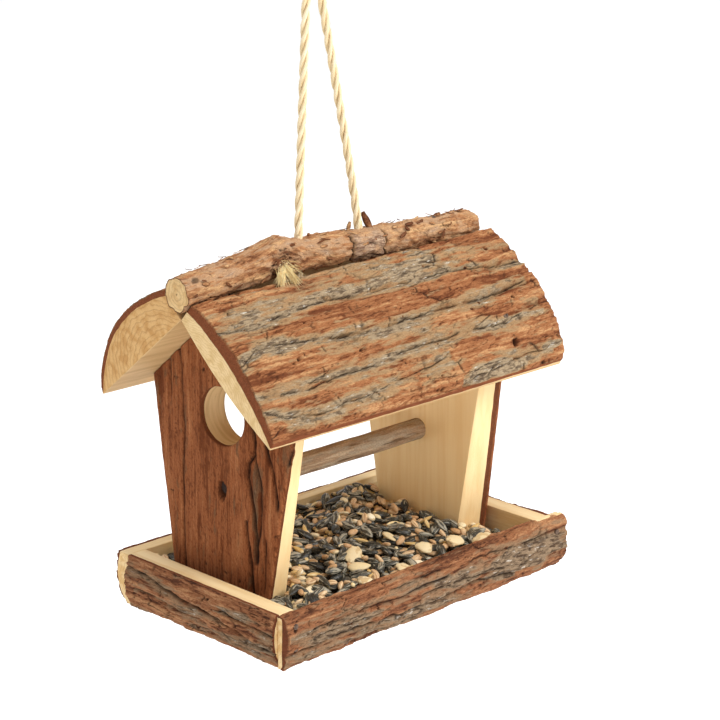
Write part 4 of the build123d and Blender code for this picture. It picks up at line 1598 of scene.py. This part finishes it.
def seeds():
    random = np.random.default_rng(41)

    def ground(x, y):
        return np.where(in_gable(x, y), WALL, seed_level(x, y) - SEED_DEPTH)

    bed = SeedBed(TRAY_LOW, TRAY_HIGH, ground)
    made = {kind[0]: [] for kind in SEED_KINDS}
    order = np.concatenate([np.full(kind[4], number) for number, kind in enumerate(SEED_KINDS)])
    random.shuffle(order)
    for number in order:
        name, _, _, size, _ = SEED_KINDS[number]
        grown = np.array(size) * random.normal(1, 0.09, 3).clip(0.8, 1.25)
        choices = []
        for _ in range(8):
            yaw = random.uniform(0, 2 * np.pi)
            spot = random.uniform(bed.low, bed.high)
            reach = np.abs((math.cos(yaw), math.sin(yaw))) * grown[0] / 2 + 0.8
            spot = np.clip(spot, bed.low + reach, bed.high - reach)
            lack = seed_level(*spot) - bed.heights[bed.cells(spot[None])][0]
            choices.append((lack, tuple(spot), yaw))
        for lack, spot, yaw in sorted(choices, reverse=True):
            laid = bed.lay(np.array(spot), yaw, grown)
            if laid:
                made[name].append((*laid, grown, random.uniform(0, 1)))
                break
    for name, material, shape, *_ in SEED_KINDS:
        add_seeds(name, material, shape, made[name])

    pale = []
    for x, y, yaw in PEANUT_PLACES:
        grown = np.array((13.0, 9.8, 3.4)) * random.normal(1, 0.1, 3)
        pale.append((*bed.lay(np.array((x, y), float), yaw, grown), grown, random.uniform(0, 1)))
    add_seeds("peanut_flakes", peanut, husk(16, 18, ROUND), pale, 0.22)


def add_seeds(name, material, shape, laid, uneven=0.05):
    """One piece with a seed of that shape in each place where one was laid."""
    points, tones, grains, faces = [], [], [], []
    local, local_faces, turn = shape
    for number, (middle, turned, size, tone) in enumerate(laid):
        body = local * size
        body = body * (1 + uneven * noise3(body + 37 * number, (2.6, 2.2, 2.2), 70)[:, None])
        points.append(middle + body @ turned)
        tones.append(np.full(len(body), tone))
        grains.append(np.stack([body[:, 0] + 50 * number, 1.7 * turn, 0 * turn], -1))
        faces.append(local_faces + number * len(local))
    values = {"tone": np.concatenate(tones), "grain": np.concatenate(grains)}
    new_piece(name, np.concatenate(points), np.concatenate(faces), [material], None, values)


def seed_mound():
    """Closed heap under the seeds, dark: painted shade in the gaps between them."""
    x = np.linspace(TRAY_LOW[0], TRAY_HIGH[0], 150)
    y = np.linspace(TRAY_LOW[1], TRAY_HIGH[1], 96)
    grid_x, grid_y = np.meshgrid(x, y, indexing="ij")
    foot = 6.2
    top = seed_level(grid_x, grid_y) - SEED_DEPTH + 0.5 + 0.9 * layered(grid_x, grid_y, (9, 9), 77)
    top = np.where(in_gable(grid_x, grid_y), foot + 0.2, top)
    upper = np.stack([grid_x, grid_y, top], -1)
    lower = np.stack([grid_x, grid_y, np.full(top.shape, foot)], -1)
    points = np.stack([upper, lower], 2)
    ids = np.arange(points[..., 0].size).reshape(points.shape[:3])
    faces = [quads(ids[:, :, 0]), quads(ids[:, :, 1])[..., ::-1]]
    faces += [quads(ids[0])[..., ::-1], quads(ids[-1]), quads(ids[:, 0]), quads(ids[:, -1])[..., ::-1]]
    faces = np.concatenate([group.reshape(-1, 4) for group in faces])
    flat = points.reshape(-1, 3)
    values = {"tone": np.full(len(flat), 0.4), "grain": flat}
    piece = new_piece("seed_mound", flat, faces, [painted_seed_shade], None, values)
    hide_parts("seed_fill")


seeds()
seed_mound()

# ---------------------------------------------------------------- corner nails

LEFT_END_SINK = 2.6


def corner_nails():
    """The tray's corner nails. The front board is thinner at its left end, so they go deeper there."""
    solid = bpy.data.objects["tray_corner_nails"]
    points = np.array([solid.matrix_world @ vertex.co for vertex in solid.data.vertices])
    points = (points - HOUSE_ORIGIN) / MM
    at_left_end = (points[:, 0] < 0) & (points[:, 1] < 0)
    points[at_left_end, 1] += LEFT_END_SINK
    faces = [tuple(face.vertices) for face in solid.data.polygons]
    piece = new_piece("corner_nails", points, faces, [rusty_steel])
    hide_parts("tray_corner_nails")


corner_nails()

# ---------------------------------------------------------------- CAD nodes that stay

for node, material in (
    ("floor_nails", rusty_steel),
    ("gable_screws", steel),
    # The crossbar's screws sit in pits and take painted shade.
    ("crossbar_screws", screw_steel_painted_shade),
    ("roof_nails", rusty_steel),
    ("ridge_nails", rusty_steel),
    ("tray_floor", floor_wood),
):
    bpy.data.objects[node].data.materials.clear()
    bpy.data.objects[node].data.materials.append(material)
